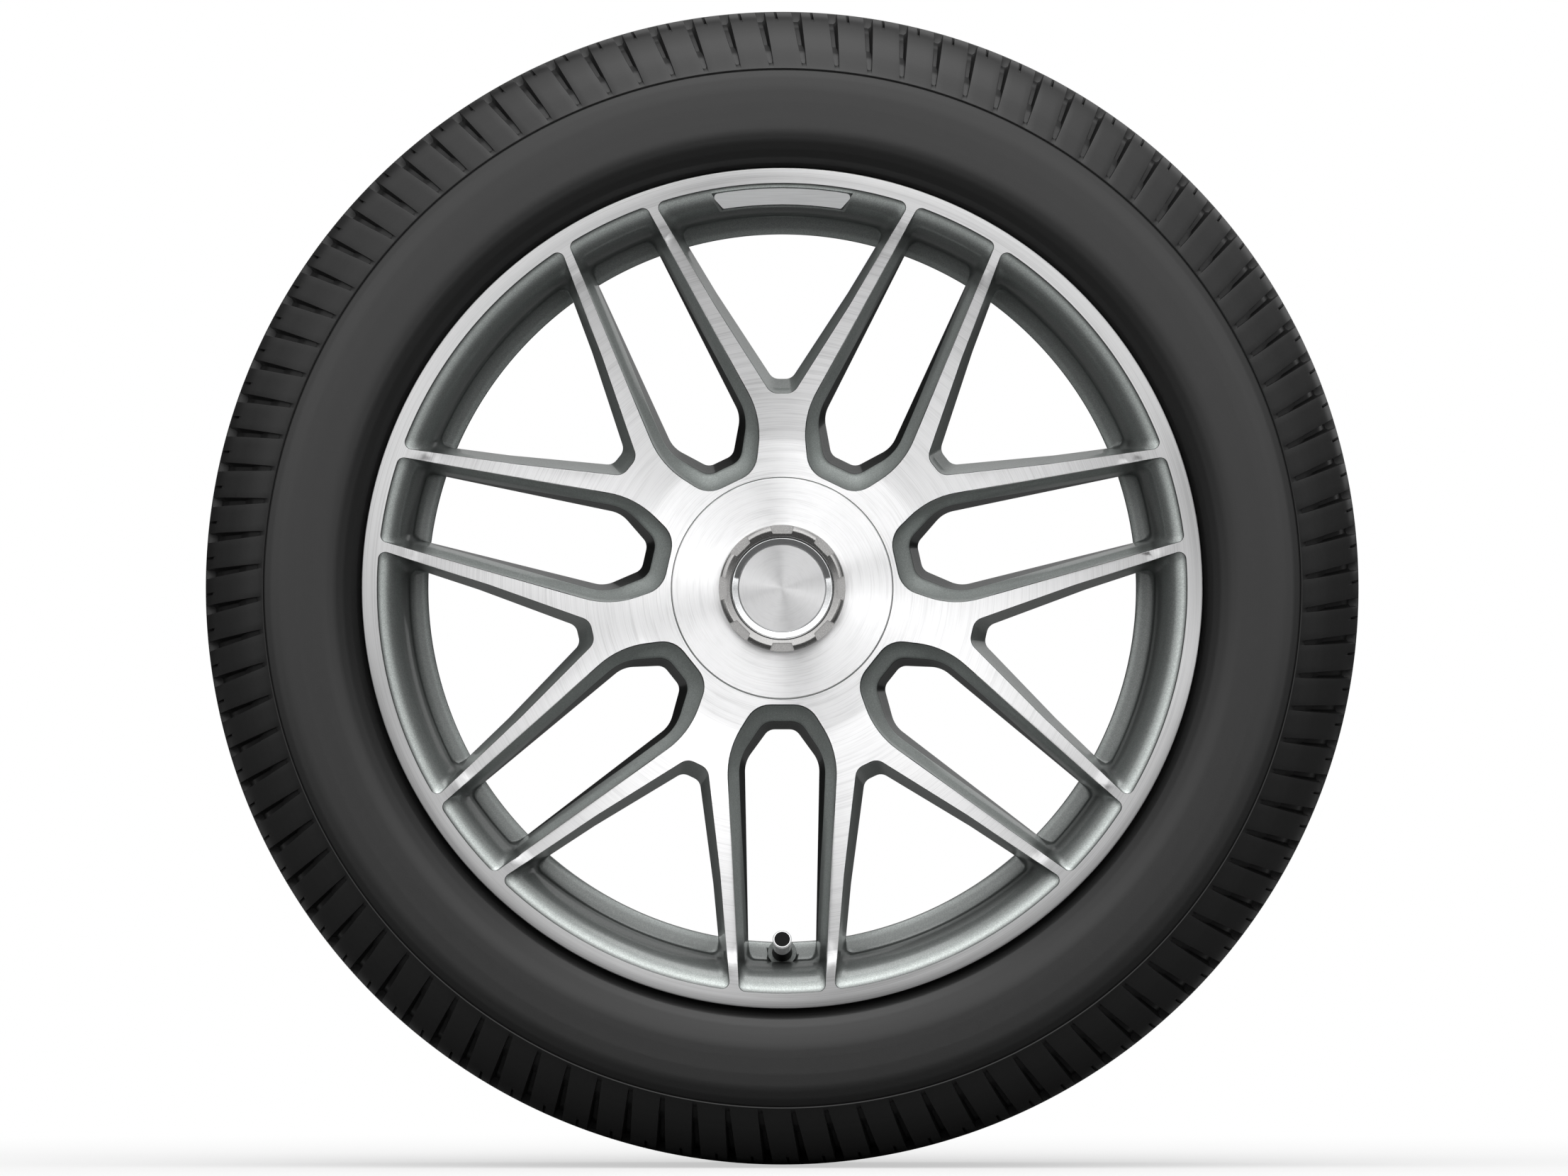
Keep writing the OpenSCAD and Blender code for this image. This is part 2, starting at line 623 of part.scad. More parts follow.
module cover_nut_ring() color([0.55, 0.54, 0.52]) lay() difference() {
    rotate_extrude() polygon(rounded([
        [bezel_r + 0.3, hub_z, 0],
        [nut_r, hub_z, 0],
        [nut_r, hub_z + nut_h - 1, 3.2],
        [nut_r - 3.5, hub_z + nut_h, 1.5],
        [bezel_r + 0.3, hub_z + nut_h - 1.5, 0.8]]));
    for (k = [0:notch_count - 1]) rotate(k * 360 / notch_count)
        translate([0, 0, hub_z + nut_h - notch_h]) linear_extrude(notch_h + 5) polygon([
            [notch_in, -notch_v], [nut_r + 3, -notch_v - 3.4], [nut_r + 3, notch_v + 3.4], [notch_in, notch_v]]);
}

module cover_bezel() color([0.9, 0.9, 0.92]) lay() rotate_extrude() polygon(rounded([
    [bezel_r - bezel_w, boss_z, 0],
    [bezel_r, boss_z, 0],
    [bezel_r, hub_z + nut_h - 3, 0.6],
    [bezel_r - 1, hub_z + nut_h - 2.2, 0.5],
    [bezel_r - bezel_w, boss_z + badge_t + 0.4, 0.3]]));

module cover_plain_disc() color([0.8, 0.81, 0.82]) lay() translate([0, 0, boss_z]) rotate_extrude() polygon([
    [0, 0], [bezel_r - bezel_w - 0.2, 0], [bezel_r - bezel_w - 0.2, badge_t - 0.5],
    [bezel_r - bezel_w - 0.8, badge_t], [0, badge_t]]);

module rim_plaque() color([0.72, 0.73, 0.74]) lay() intersection() {
    out_r = plaque_in + plaque_w;
    rotate(90 - land_half) rotate_extrude(angle = 2 * land_half) polygon([
        [plaque_in - 1, land_z(plaque_in - 1) + plaque_gap],
        [out_r + 1, land_z(out_r + 1) + plaque_gap],
        [out_r + 1, land_z(out_r + 1) + plaque_gap + plaque_t],
        [plaque_in - 1, land_z(plaque_in - 1) + plaque_gap + plaque_t]]);
    half_in = asin(plaque_v / plaque_in);
    half_out = asin((plaque_v + plaque_flare) / out_r);
    translate([0, 0, lip_z - roll_h]) linear_extrude(2 * roll_h) polygon(rounded(concat(
        [for (k = [-4:4]) [plaque_in * sin(half_in * k / 4), plaque_in * cos(half_in * k / 4), abs(k) == 4 ? 2 : 0]],
        [for (k = [4:-1:-4]) [out_r * sin(half_out * k / 4), out_r * cos(half_out * k / 4), abs(k) == 4 ? 2.5 : 0]])));
}

// Snap-in rubber body, moulded round the stem
module valve_rubber() color([0.07, 0.07, 0.07]) at_valve() rotate_extrude() polygon([
    [stem_r + 0.05, -rubber_back],
    [stem_r + 2, -rubber_back],
    [stem_r + 2.6, 2 - rubber_back],
    [7, -wall_t - 6],
    [7.8, -wall_t - 1.5],
    [7.8, -wall_t - 0.2],
    [valve_hole_r - 0.15, -wall_t - 0.2],
    [valve_hole_r - 0.15, 0.2],
    [flange_rubber_r, 0.2],
    [flange_rubber_r, 1.8],
    [flange_rubber_r - 1, 3],
    [7.2, 4],
    [5.9, rubber_front - 1],
    [5.2, rubber_front],
    [stem_r + 0.05, rubber_front]]);

module valve_stem() color([0.78, 0.62, 0.32]) at_valve() rotate_extrude() polygon([
    [1.8, -rubber_back],
    [stem_r, -rubber_back],
    [stem_r, rubber_front + 0.2],
    [thread_r, rubber_front + 0.4],
    [thread_r, stem_top - 0.6],
    [thread_r - 0.6, stem_top],
    [core_bore_r, stem_top],
    [core_bore_r, core_foot - 4.5],
    [1.8, core_foot - 5]]);

module valve_core_barrel() color([0.8, 0.65, 0.35]) at_valve() rotate_extrude() polygon([
    [0.85, core_foot],
    [core_bore_r - 0.1, core_foot],
    [core_bore_r - 0.1, core_top],
    [1.65, core_top],
    [1.65, core_foot + 1.5],
    [0.85, core_foot + 1.5]]);

module valve_core_pin() color([0.75, 0.6, 0.3]) at_valve() rotate_extrude() polygon([
    [0, core_foot - 2],
    [2, core_foot - 2],
    [2, core_foot - 0.8],
    [0.7, core_foot - 0.8],
    [0.7, core_top - 3.5],
    [1.45, core_top - 3.5],
    [1.45, core_top - 2.7],
    [0.7, core_top - 2.7],
    [0.7, pin_top],
    [0, pin_top]]);

module valve_core_seal() color([0.15, 0.12, 0.12]) at_valve() translate([0, 0, core_foot - 0.75])
    difference() {
        cylinder(r = 1.95, h = 0.7);
        translate([0, 0, -1]) cylinder(r = 0.75, h = 3);
    }

// Coil spring that lifts the pin
module valve_core_spring() color([0.7, 0.7, 0.72]) at_valve() {
    turns = 6;
    steps = 10;
    sides = 5;
    coil_r = 1.2;
    wire = 0.2;
    low = core_foot + 1.55 + wire;
    high = core_top - 3.55 - wire;
    rings = turns * steps;
    points = [for (i = [0:rings], j = [0:sides - 1]) let(
        a = i * 360 / steps,
        b = j * 360 / sides,
        r = coil_r + wire * cos(b)) [r * cos(a), r * sin(a), low + (high - low) * i / rings + wire * sin(b)]];
    polyhedron(points, concat(
        [[for (j = [0:sides - 1]) j]],
        [[for (j = [sides - 1:-1:0]) rings * sides + j]],
        [for (i = [0:rings - 1], j = [0:sides - 1]) each [
            [i * sides + j, (i + 1) * sides + j, (i + 1) * sides + (j + 1) % sides],
            [i * sides + j, (i + 1) * sides + (j + 1) % sides, i * sides + (j + 1) % sides]]]));
}

module valve_cap() color([0.75, 0.75, 0.76]) at_valve() rotate_extrude() polygon([
    [0, cap_inner_z],
    [thread_r + 0.2, cap_inner_z],
    [thread_r + 0.2, cap_foot],
    [cap_r - 0.5, cap_foot],
    [cap_r - 0.3, cap_foot + 0.4],
    [cap_r - 0.3, cap_top - 3.2],
    [cap_r, cap_top - 2.4],
    [cap_r, cap_top - 0.8],
    [cap_r - 0.8, cap_top],
    [insert_r + 0.1, cap_top],
    [insert_r + 0.1, cap_top - 0.9],
    [0, cap_top - 0.9]]);

module valve_cap_insert() color([0.05, 0.05, 0.05]) at_valve() translate([0, 0, cap_top - 0.9])
    cylinder(r = insert_r, h = 0.7);

module valve_cap_seal() color([0.12, 0.12, 0.12]) at_valve() translate([0, 0, cap_inner_z - seal_t])
    difference() {
        cylinder(r = thread_r + 0.1, h = seal_t);
        translate([0, 0, -1]) cylinder(r = 1.5, h = 3);
    }

// Housing on the valve's inner end, clear of the drop centre's floor
module sensor_housing() color([0.13, 0.13, 0.14]) at_valve() {
    top = -rubber_back - 0.2;
    difference() {
        union() {
            translate([0, 0, top - sensor_t]) linear_extrude(sensor_t - 2) polygon(rounded([
                for (p = [[1, 1], [-1, 1], [-1, -1], [1, -1]]) [p.x * sensor_w / 2, p.y * sensor_l / 2, 5]]));
            translate([0, 0, top - 3]) cylinder(r = 6.5, h = 3);
        }
        translate([0, 0, top - sensor_t - 1]) cylinder(r = 2.1, h = sensor_t + 2);
        translate([0, 0, top - sensor_t - 1]) cylinder(r = 4, h = 5);
    }
}

module sensor_screw() color([0.6, 0.6, 0.62]) at_valve() {
    head = -rubber_back - 0.2 - sensor_t + 4;
    difference() {
        union() {
            translate([0, 0, head - 2.5]) cylinder(r = 3.6, h = 2.5);
            translate([0, 0, head - 0.5]) cylinder(r = 1.7, h = sensor_t + 3);
        }
        translate([0, 0, head - 3.5]) cylinder(r = 1.6, h = 2.5, $fn = 6);
    }
}

// Row of adhesive weights stuck to the inside of the barrel
module balance_weights() color([0.5, 0.5, 0.5]) lay() {
    out_r = barrel_in_r - tyre_gap;
    span = weight_l / out_r * 180 / PI;
    for (k = [0:weight_count - 1]) rotate(weight_from + k * span * 1.06)
        translate([0, 0, -weight_in - weight_w / 2])
        rotate_extrude(angle = span) polygon([
            [out_r - weight_t + 0.8, 0], [out_r, 0], [out_r, weight_w], [out_r - weight_t + 0.8, weight_w],
            [out_r - weight_t, weight_w - 0.8], [out_r - weight_t, 0.8]]);
}

wheel();
tyre();
cover_face();
cover_carrier();
cover_retaining_ring();
cover_nut_ring();
cover_bezel();
cover_plain_disc();
rim_plaque();
valve_rubber();
valve_stem();
valve_core_barrel();
valve_core_spring();
valve_core_pin();
valve_core_seal();
valve_cap();
valve_cap_insert();
valve_cap_seal();
sensor_housing();
sensor_screw();
balance_weights();
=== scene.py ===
import math

import bmesh
import bpy
import numpy as np
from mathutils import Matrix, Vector
from mathutils.geometry import delaunay_2d_cdt

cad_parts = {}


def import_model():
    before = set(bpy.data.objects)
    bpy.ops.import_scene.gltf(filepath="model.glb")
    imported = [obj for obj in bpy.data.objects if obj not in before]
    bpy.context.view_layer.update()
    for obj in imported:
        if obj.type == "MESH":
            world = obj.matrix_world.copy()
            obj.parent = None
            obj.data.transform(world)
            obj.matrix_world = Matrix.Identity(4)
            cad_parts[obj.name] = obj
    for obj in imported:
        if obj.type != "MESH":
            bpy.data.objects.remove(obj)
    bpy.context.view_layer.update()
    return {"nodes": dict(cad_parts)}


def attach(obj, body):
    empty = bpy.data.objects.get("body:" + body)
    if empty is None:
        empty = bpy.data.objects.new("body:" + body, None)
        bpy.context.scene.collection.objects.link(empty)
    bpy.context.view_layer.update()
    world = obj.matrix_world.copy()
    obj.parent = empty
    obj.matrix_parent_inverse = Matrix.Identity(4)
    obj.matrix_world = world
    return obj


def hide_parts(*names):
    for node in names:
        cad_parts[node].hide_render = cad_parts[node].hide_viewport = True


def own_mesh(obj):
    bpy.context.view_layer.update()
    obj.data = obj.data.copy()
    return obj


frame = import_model()

# Lengths are in millimetres in a local frame: x to the right, y up, w out of the wheel's face.
MM = 0.001
ROOT = "wheel_and_tyre"
TURN = 2 * math.pi

# Rim
BEAD_R = 266.3
RIM_HALF = 120.65
LIP_W = 133.15
FLANGE_R = 283.6
LIP_IN_R = 273.1
ROLL_WIDTH = 21.0
ROLL_DEPTH = 36.0
ROLL_R = LIP_IN_R - ROLL_WIDTH
ROLL_W = LIP_W - ROLL_DEPTH - 1
WELL_BORE_R = 239.5
WALL_W = 92.15
WALL_IN_W = 87.56
# Disc
HUB_W = 108.0
HUB_FLAT_R = 100.0
KINK_R = 247.0
KINK_WIDTH = 9.0
KINK_W = 129.45
PAD_W = 52.0
PAD_R = 78.0
BACK_W = 67.0
BACK_RISE = 19.2
WINDOWS = 7
RECESS_R = 75.2
LEDGE_W = 104.8
POCKET_R = 72.3
FLOOR_W = 80.0
BORE_R = 33.3
BOLTS = 5
BOLT_RING_R = 56.0
BOLT_R = 7.5
HEAD_R = 13.2
HEAD_DEPTH = 14.0
LIGHT_R = 8.0
LIGHT_RING_R = 59.0
LIGHT_DEPTH = 10.0
# Window outlines: hub end, shoulder, slope of a side, corner radii of hub, shoulder and rim
U_FRONT = (79.0, 17.8, 110.5, 37.4, -0.0525, 18, 58, 5)
U_BACK = (95.5, 9.1, 117.5, 25.2, -0.0193, 8, 20, 6)
V_FRONT = (131.7, 7.7, 192.0, 46.0, 0.592, 9, 40, 4.5)
V_BACK = (141.6, 6.3, 200.0, 44.6, 0.603, 7.5, 40, 6)
# Depth below the face and share of the way from the front outline to the back outline
U_WALL = ((0, 0), (3, 0.07), (6, 0.19), (9, 0.35), (11.5, 0.5), (13, 0.595), (13.8, 0.636), (14.6, 0.66),
          (15.8, 0.68), (19, 0.715))
V_WALL = ((0, 0), (3, 0.06), (6, 0.13), (9, 0.21), (11.5, 0.28), (13, 0.325), (14, 0.355), (15, 0.38),
          (16, 0.405), (19, 0.48))
# Depths of the rings at the hub end of a wall, and where the wall's share reaches the back outline
HUB_DEPTHS = (0, 0.4, 1.3, 2.5, 4, 5.5, 7, 8.5, 10, 11.5, 12.7, 13.6, 14.5, 15.8, 19)
WALL_DEPTH = 42.0
# The first ring lies outside the face's outline, by this share of the way to the back and at this radius
EDGE_SHARE = 0.035
EDGE_R = LIP_IN_R + 0.35
# Ring at which the walls' ridge runs
RIDGE_LEVEL = 12
# Points along each stretch of an outline
SIDE_STEPS = 14
ARC_STEPS = 24
HUB_STEPS = 6
SHOULDER_STEPS = 8
RIM_STEPS = 6
# Tyre
TYRE_R = 390.8
TYRE_HALF = 141.5
CREASE_R = 350.2
FLOOR_R = 382.9
EDGE_W = 104.0
BLOCKS = 100
CROWN_DROP = 3.4
RIBS = ((-62.5, -27.5), (-16.5, 16.5), (27.5, 62.5))
# Band of blocks on a shoulder: (radius, height) from the crease to the wall of the ring groove
SHOULDER = ((350.2, 137.6), (350.9, 137.9), (352.0, 137.2), (354.0, 136.0), (358.0, 133.9), (362.0, 131.6),
            (366.0, 129.1), (370.0, 126.2), (374.0, 122.8), (377.5, 119.3), (380.5, 115.8), (383.0, 112.2),
            (385.0, 108.4), (386.3, 104.6), (387.1, 101.0), (387.75, 97.0), (388.5, 91.0), (389.1, 84.0),
            (389.6, 76.5), (389.68, 74.1), (389.3, 73.5), (384.0, 73.5), (381.0, 73.5))
# The band's own inner side
SHOULDER_FOOT = ((372.0, 73.5), (372.0, 96.0), (352.0, 124.0), (349.6, 133.0))
# Number of the band's points that lie on its outer surface
SHOULDER_TOP = 20
# Grooves between the blocks: width at the crease and at the crown, depth, place and lean
GROOVE_LOW, GROOVE_HIGH = 2.7, 6.9
GROOVE_DEPTH = 7.6
GROOVE_START = math.radians(1.098)
GROOVE_LEAN = math.radians(1.35)
# Sipe in each block: place after the groove, lean, half its width, depth and where it begins
SIPE_START = math.radians(1.8)
SIPE_LEAN = math.radians(0.35)
SIPE_HALF = 0.9
SIPE_DEPTH = 5.0
SIPE_R = 384.5
# Valve
VALVE_R = 248.6
VALVE_W = 90.88
VALVE_TILT = math.radians(20)
SPOT_R, SPOT_HIGH = 9.6, 8.0
SPRING_R, SPRING_WIRE, SPRING_TURNS = 1.2, 0.2, 6
SPRING_LOW, SPRING_HIGH = 16.76, 24.23
# Raised land of the plaque: inner radius, half its angle at both edges, width of its ends and its slope
LAND_R = 257.0
LAND_LOW, LAND_HIGH = math.radians(9.35), math.radians(10.75)
LAND_MARGIN = math.radians(0.42)
LAND_SLOPE = math.tan(math.radians(16))
# Material slots of the wheel. The darkest paint is painted shade, on the U windows' walls below the ridge,
# along the windows' edges and in the valve's pocket, and it draws the plaque's dark border. Beyond the
# radius and below the height on the next line no wall has the darkest paint
FACE, PAINT, INNER, SHADE_AND_BORDER = 0, 1, 2, 3
SHADE_PAINT_R, SHADE_PAINT_W = 236.5, 110.0
# (radius, factor) stops of light and shade painted into a finish's colour, all within the radius below: the
# turned face is painted bright at the hub and in the band at the kink and darker along the spokes; the paint
# is painted lighter on the windows' walls, dark in the corner of the roll and bright towards the lip, with a
# dark line at its edge
PAINTED_LIGHT_R = 300
FACE_PAINTED_LIGHT = ((100, 1.0), (150, 0.93), (190, 0.8), (230, 0.65), (246, 0.6), (248.5, 0.8), (254.5, 0.8),
               (257, 0.55), (272, 0.6), (283, 0.55))
PAINT_PAINTED_LIGHT = ((100, 1.2), (234, 1.15), (238, 0.9), (241, 0.7), (244, 0.36), (250, 0.34), (252.5, 0.18),
                (254, 0.3), (258, 0.42), (262, 0.38), (265, 0.52), (268, 0.95), (270.3, 1.5), (271.6, 1.25),
                (272.4, 0.22))
# Studio: strength of the light from the front and from above; lamps with place, width, height and watts
FRONT_LEVEL = 2.0
TOP_LEVEL = 0.9
LAMPS = (("top", (0.1, -0.9, 3.0), 3.2, 1.6, 30), ("left", (-3.2, -2.6, 0.8), 1.6, 2.4, 8),
         ("behind", (1.2, 3.4, 1.6), 4.0, 3.0, 16))
FLOOR_POINTS, FLOOR_REACH = 96, 3.0
# Camera: the picture's size and the wheel's centre in pixels, pixels per metre, and the face's distance
PICTURE = (2212.0, 1659.0)
CENTRE = (1103.4, 829.8)
PIXELS_PER_METRE = 2087.5
FACE_AHEAD = 0.09


def face_w(r):
    """Height of the turned face at a radius."""
    r = np.asarray(r, float)
    cone = HUB_W + (KINK_W - HUB_W) * (r - HUB_FLAT_R) / (KINK_R - HUB_FLAT_R)
    step = KINK_W + (LIP_W - KINK_W) * (r - KINK_R) / KINK_WIDTH
    return np.where(r < HUB_FLAT_R, HUB_W, np.where(r < KINK_R, cone, np.minimum(LIP_W, step)))


def back_w(r):
    """Height of the spokes' back at a radius."""
    return BACK_W + BACK_RISE * (np.asarray(r, float) - PAD_R) / (ROLL_R - PAD_R)


def new_object(name, data):
    """An object linked to the scene."""
    obj = bpy.data.objects.new(name, data)
    bpy.context.scene.collection.objects.link(obj)
    return obj


class Shape:
    """Collects points, faces and their material numbers, and makes one object of them."""

    def __init__(self):
        self.points, self.faces, self.marks = [], [], []
        self.count = 0

    def add(self, points):
        """Adds an array of points and returns the number of the first one."""
        points = np.asarray(points, float).reshape(-1, 3)
        self.points.append(points)
        self.count += len(points)
        return self.count - len(points)

    def face(self, ids, mark=0):
        """Adds a face between points given by number."""
        self.faces.append(tuple(int(i) for i in ids))
        self.marks.append(mark)

    def grid(self, rows, mark=0, closed=True, flip=False):
        """Skins rows of points, closed on themselves or open. mark is one number, or one for each gap."""
        rows = [np.asarray(r, float) for r in rows]
        n = len(rows[0])
        starts = [self.add(r) for r in rows]
        for k in range(len(rows) - 1):
            a, b = starts[k], starts[k + 1]
            number = mark if isinstance(mark, int) else mark[k]
            for i in range(n if closed else n - 1):
                j = (i + 1) % n
                quad = (a + i, a + j, b + j, b + i)
                self.face(quad[::-1] if flip else quad, number)
        return starts

    def sheet(self, region, mark, flip=False):
        """Adds the points and triangles of a sheet."""
        points, triangles = region
        first = self.add(points)
        for t in triangles:
            self.face((first + t)[::-1] if flip else first + t, mark)

    def build(self, name, materials, smooth=40, weld=0.0005, body=ROOT):
        """Makes the object, its points welded and its faces shaded smooth up to an angle."""
        points = np.concatenate(self.points)
        world = np.stack([points[:, 0], -points[:, 2], points[:, 1]], 1) * MM
        mesh = bpy.data.meshes.new(name)
        mesh.from_pydata(world.tolist(), [], self.faces)
        mesh.polygons.foreach_set("material_index", self.marks)
        for m in materials:
            mesh.materials.append(m)
        tidy(mesh, weld * MM)
        mesh.polygons.foreach_set("use_smooth", [True] * len(mesh.polygons))
        mesh.set_sharp_from_angle(angle=math.radians(smooth))
        obj = new_object(name, mesh)
        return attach(obj, body)


def tidy(mesh, distance):
    """Welds points that coincide and removes faces without area."""
    bm = bmesh.new()
    bm.from_mesh(mesh)
    bmesh.ops.remove_doubles(bm, verts=bm.verts, dist=distance)
    bmesh.ops.dissolve_degenerate(bm, edges=bm.edges, dist=distance)
    bm.to_mesh(mesh)
    bm.free()


def ring(r, w, angles):
    """Points on a circle about the wheel's axis."""
    return np.stack([r * np.cos(angles), r * np.sin(angles), np.full(len(angles), float(w))], 1)


def even(n, start=0.0):
    """Evenly spaced angles."""
    return start + np.arange(n) * TURN / n


def turned(points, angle):
    """Points turned about the wheel's axis."""
    c, s = math.cos(angle), math.sin(angle)
    points = np.asarray(points, float).copy()
    x, y = points[:, 0].copy(), points[:, 1].copy()
    points[:, 0], points[:, 1] = c * x - s * y, s * x + c * y
    return points


def at_valve(points):
    """Points drawn along the valve's own axis, laid at its seat."""
    points = np.asarray(points, float)
    c, s = math.cos(VALVE_TILT), math.sin(VALVE_TILT)
    u = VALVE_R + points[:, 0] * c - points[:, 2] * s
    w = VALVE_W + points[:, 0] * s + points[:, 2] * c
    return np.stack([points[:, 1], -u, w], 1)


# Window outlines
def arc_corner(a, b, c, r, n):
    """Points of the corner b between a and c, rounded by radius r in n steps."""
    a, b, c = np.array(a, float), np.array(b, float), np.array(c, float)
    p, q = (a - b) / np.linalg.norm(a - b), (c - b) / np.linalg.norm(c - b)
    half = math.acos(max(-1.0, min(1.0, float(p @ q)))) / 2
    middle = (p + q) / np.linalg.norm(p + q)
    centre = b + middle * r / math.sin(half)
    start, stop = b + p * r / math.tan(half) - centre, b + q * r / math.tan(half) - centre
    first = math.atan2(start[1], start[0])
    sweep = (math.atan2(stop[1], stop[0]) - first + 3 * math.pi) % TURN - math.pi
    turn = first + sweep * np.arange(n + 1) / n
    return [centre + r * np.array([math.cos(t), math.sin(t)]) for t in turn]


def rim_corner(x, y, slope, r):
    """Where a window's side meets the circle of radius r."""
    base = y - slope * x
    u = (math.sqrt(r * r * (1 + slope * slope) - base * base) - slope * base) / (1 + slope * slope)
    return u, slope * u + base


def outline(w, r, rim_round=None):
    """A window's outline, counter-clockwise, about the +x direction, with each point's share of the rim."""
    hub_x, hub_y, sh_x, sh_y, slope, hub_round, sh_round, corner = w
    corner = corner if rim_round is None else rim_round
    end = rim_corner(sh_x, sh_y, slope, r)
    a = math.atan2(end[1], end[0])
    lower = [(hub_x, -hub_y), (sh_x, -sh_y), (end[0], -end[1])]
    arc_next = (r * math.cos(a * 0.9), -r * math.sin(a * 0.9))
    hub = arc_corner((hub_x, hub_y), lower[0], lower[1], hub_round, HUB_STEPS)
    shoulder = arc_corner(lower[0], lower[1], lower[2], sh_round, SHOULDER_STEPS)
    rim = arc_corner(lower[1], lower[2], arc_next, corner, RIM_STEPS)
    side = [shoulder[-1] + (rim[0] - shoulder[-1]) * k / SIDE_STEPS for k in range(1, SIDE_STEPS)]
    front = math.atan2(-rim[-1][1], rim[-1][0])
    half = hub + shoulder + side + rim
    share = [0.0] * (len(hub) + len(shoulder))
    share += [smooth_step(k / SIDE_STEPS) for k in range(1, SIDE_STEPS)] + [1.0] * len(rim)
    arc = [(r * math.cos(t), r * math.sin(t)) for t in np.linspace(-front, front, ARC_STEPS + 1)[1:-1]]
    points = half + arc + [np.array([p[0], -p[1]]) for p in half[::-1]]
    return np.array([[p[0], p[1]] for p in points]), np.array(share + [1.0] * len(arc) + share[::-1])


def smooth_step(t):
    """0 to 1 with a level start and end."""
    t = max(0.0, min(1.0, t))
    return t * t * (3 - 2 * t)


def rim_path():
    """The rim end of a window from the lip to the drop centre: (radius, height, corner radius)."""
    path = [(EDGE_R, LIP_W, 5.0), (LIP_IN_R, LIP_W - 0.3, 5.0), (LIP_IN_R - 0.8, LIP_W - 1.0, 5.0)]
    for angle in (76, 68, 60, 51, 42, 33, 24, 16, 8, 1):
        a = math.radians(angle)
        path.append((LIP_IN_R - ROLL_WIDTH * math.cos(a), ROLL_W + ROLL_DEPTH * math.sin(a), 5.4))
    path += [(ROLL_R + 0.1, ROLL_W - 2.0, 6.2), (ROLL_R - 0.5, WALL_W + 0.7, 6.2),
             (ROLL_R - 1.5, WALL_W - 0.4, 5.2)]
    slope = (WALL_W - WALL_IN_W) / (ROLL_R - WELL_BORE_R)
    for r, corner in ((247.0, 3.2), (242.5, 1.2), (240.6, 0.5)):
        path.append((r, WALL_W - (ROLL_R - r) * slope, corner))
    path += [(WELL_BORE_R + 0.1, WALL_IN_W - 0.5, 0.3), (WELL_BORE_R, WALL_IN_W - 1.4, 0.3),
             (WELL_BORE_R, float(back_w(WELL_BORE_R)), 0.3)]
    return path


RIM_PATH = rim_path()
LEVELS = len(RIM_PATH)


def wall_share(table, depth, total):
    """Share of the way from the front outline to the back outline at a depth below the face."""
    last_depth, last_share = table[-1]
    if depth >= last_depth:
        return last_share + (1 - last_share) * min(1.0, (depth - last_depth) / (total - last_depth))
    return float(np.interp(depth, [d for d, s in table], [s for d, s in table]))


def window_rings(front, back, table):
    """Rings of points down one window's wall, about the +x direction."""
    front_a, back_a = np.array(front, float), np.array(back, float)
    edge = front_a + (front_a - back_a) * EDGE_SHARE
    total_rim = LIP_W - float(back_w(ROLL_R))
    deep = LEVELS - len(HUB_DEPTHS)
    top, share = outline(front, EDGE_R)
    foot, _ = outline(back, WELL_BORE_R, 0.3)
    top_w = face_w(np.hypot(top[:, 0], top[:, 1]))
    foot_w = back_w(np.hypot(foot[:, 0], foot[:, 1]))
    rings = []
    for k, (r, w, corner) in enumerate(RIM_PATH):
        if k < len(HUB_DEPTHS):
            depth = HUB_DEPTHS[k]
            hub_share, hub_w = wall_share(table, depth, WALL_DEPTH), top_w - depth
        else:
            t = (k - len(HUB_DEPTHS) + 1) / deep
            hub_share = table[-1][1] + (1 - table[-1][1]) * t
            hub_w = (top_w - HUB_DEPTHS[-1]) * (1 - t) + foot_w * t
        rim_share = wall_share(table, LIP_W - w, total_rim)
        if k == 0:
            hub, _ = outline(tuple(edge), r, corner)
            rim = hub
        else:
            hub, _ = outline(tuple(front_a + (back_a - front_a) * hub_share), r, corner)
            rim, _ = outline(tuple(front_a + (back_a - front_a) * rim_share), r, corner)
        flat = hub * (1 - share[:, None]) + rim * share[:, None]
        height = hub_w * (1 - share) + w * share
        if k == 0:
            height = face_w(np.hypot(flat[:, 0], flat[:, 1]))
        if k == LEVELS - 1:
            height = back_w(np.hypot(flat[:, 0], flat[:, 1]))
        rings.append(np.column_stack([flat, height]))
    return rings


def inside(points, polygon):
    """Which points lie inside a closed polygon."""
    x, y = points[:, 0][:, None], points[:, 1][:, None]
    x0, y0 = polygon[:, 0][None], polygon[:, 1][None]
    x1, y1 = np.roll(polygon[:, 0], -1)[None], np.roll(polygon[:, 1], -1)[None]
    crosses = (y0 > y) != (y1 > y)
    with np.errstate(divide="ignore", invalid="ignore"):
        at = x0 + (y - y0) * (x1 - x0) / (y1 - y0)
    return (np.sum(crosses & (x < at), axis=1) % 2) == 1


def near(points, polygon, distance):
    """Which points lie closer than a distance to a closed polygon's sides."""
    start, stop = polygon[None], np.roll(polygon, -1, axis=0)[None]
    run = stop - start
    p = points[:, None]
    t = np.clip(np.sum((p - start) * run, 2) / np.maximum(np.sum(run * run, 2), 1e-12), 0, 1)
    gap = np.linalg.norm(p - start - run * t[..., None], axis=2)
    return gap.min(axis=1) < distance


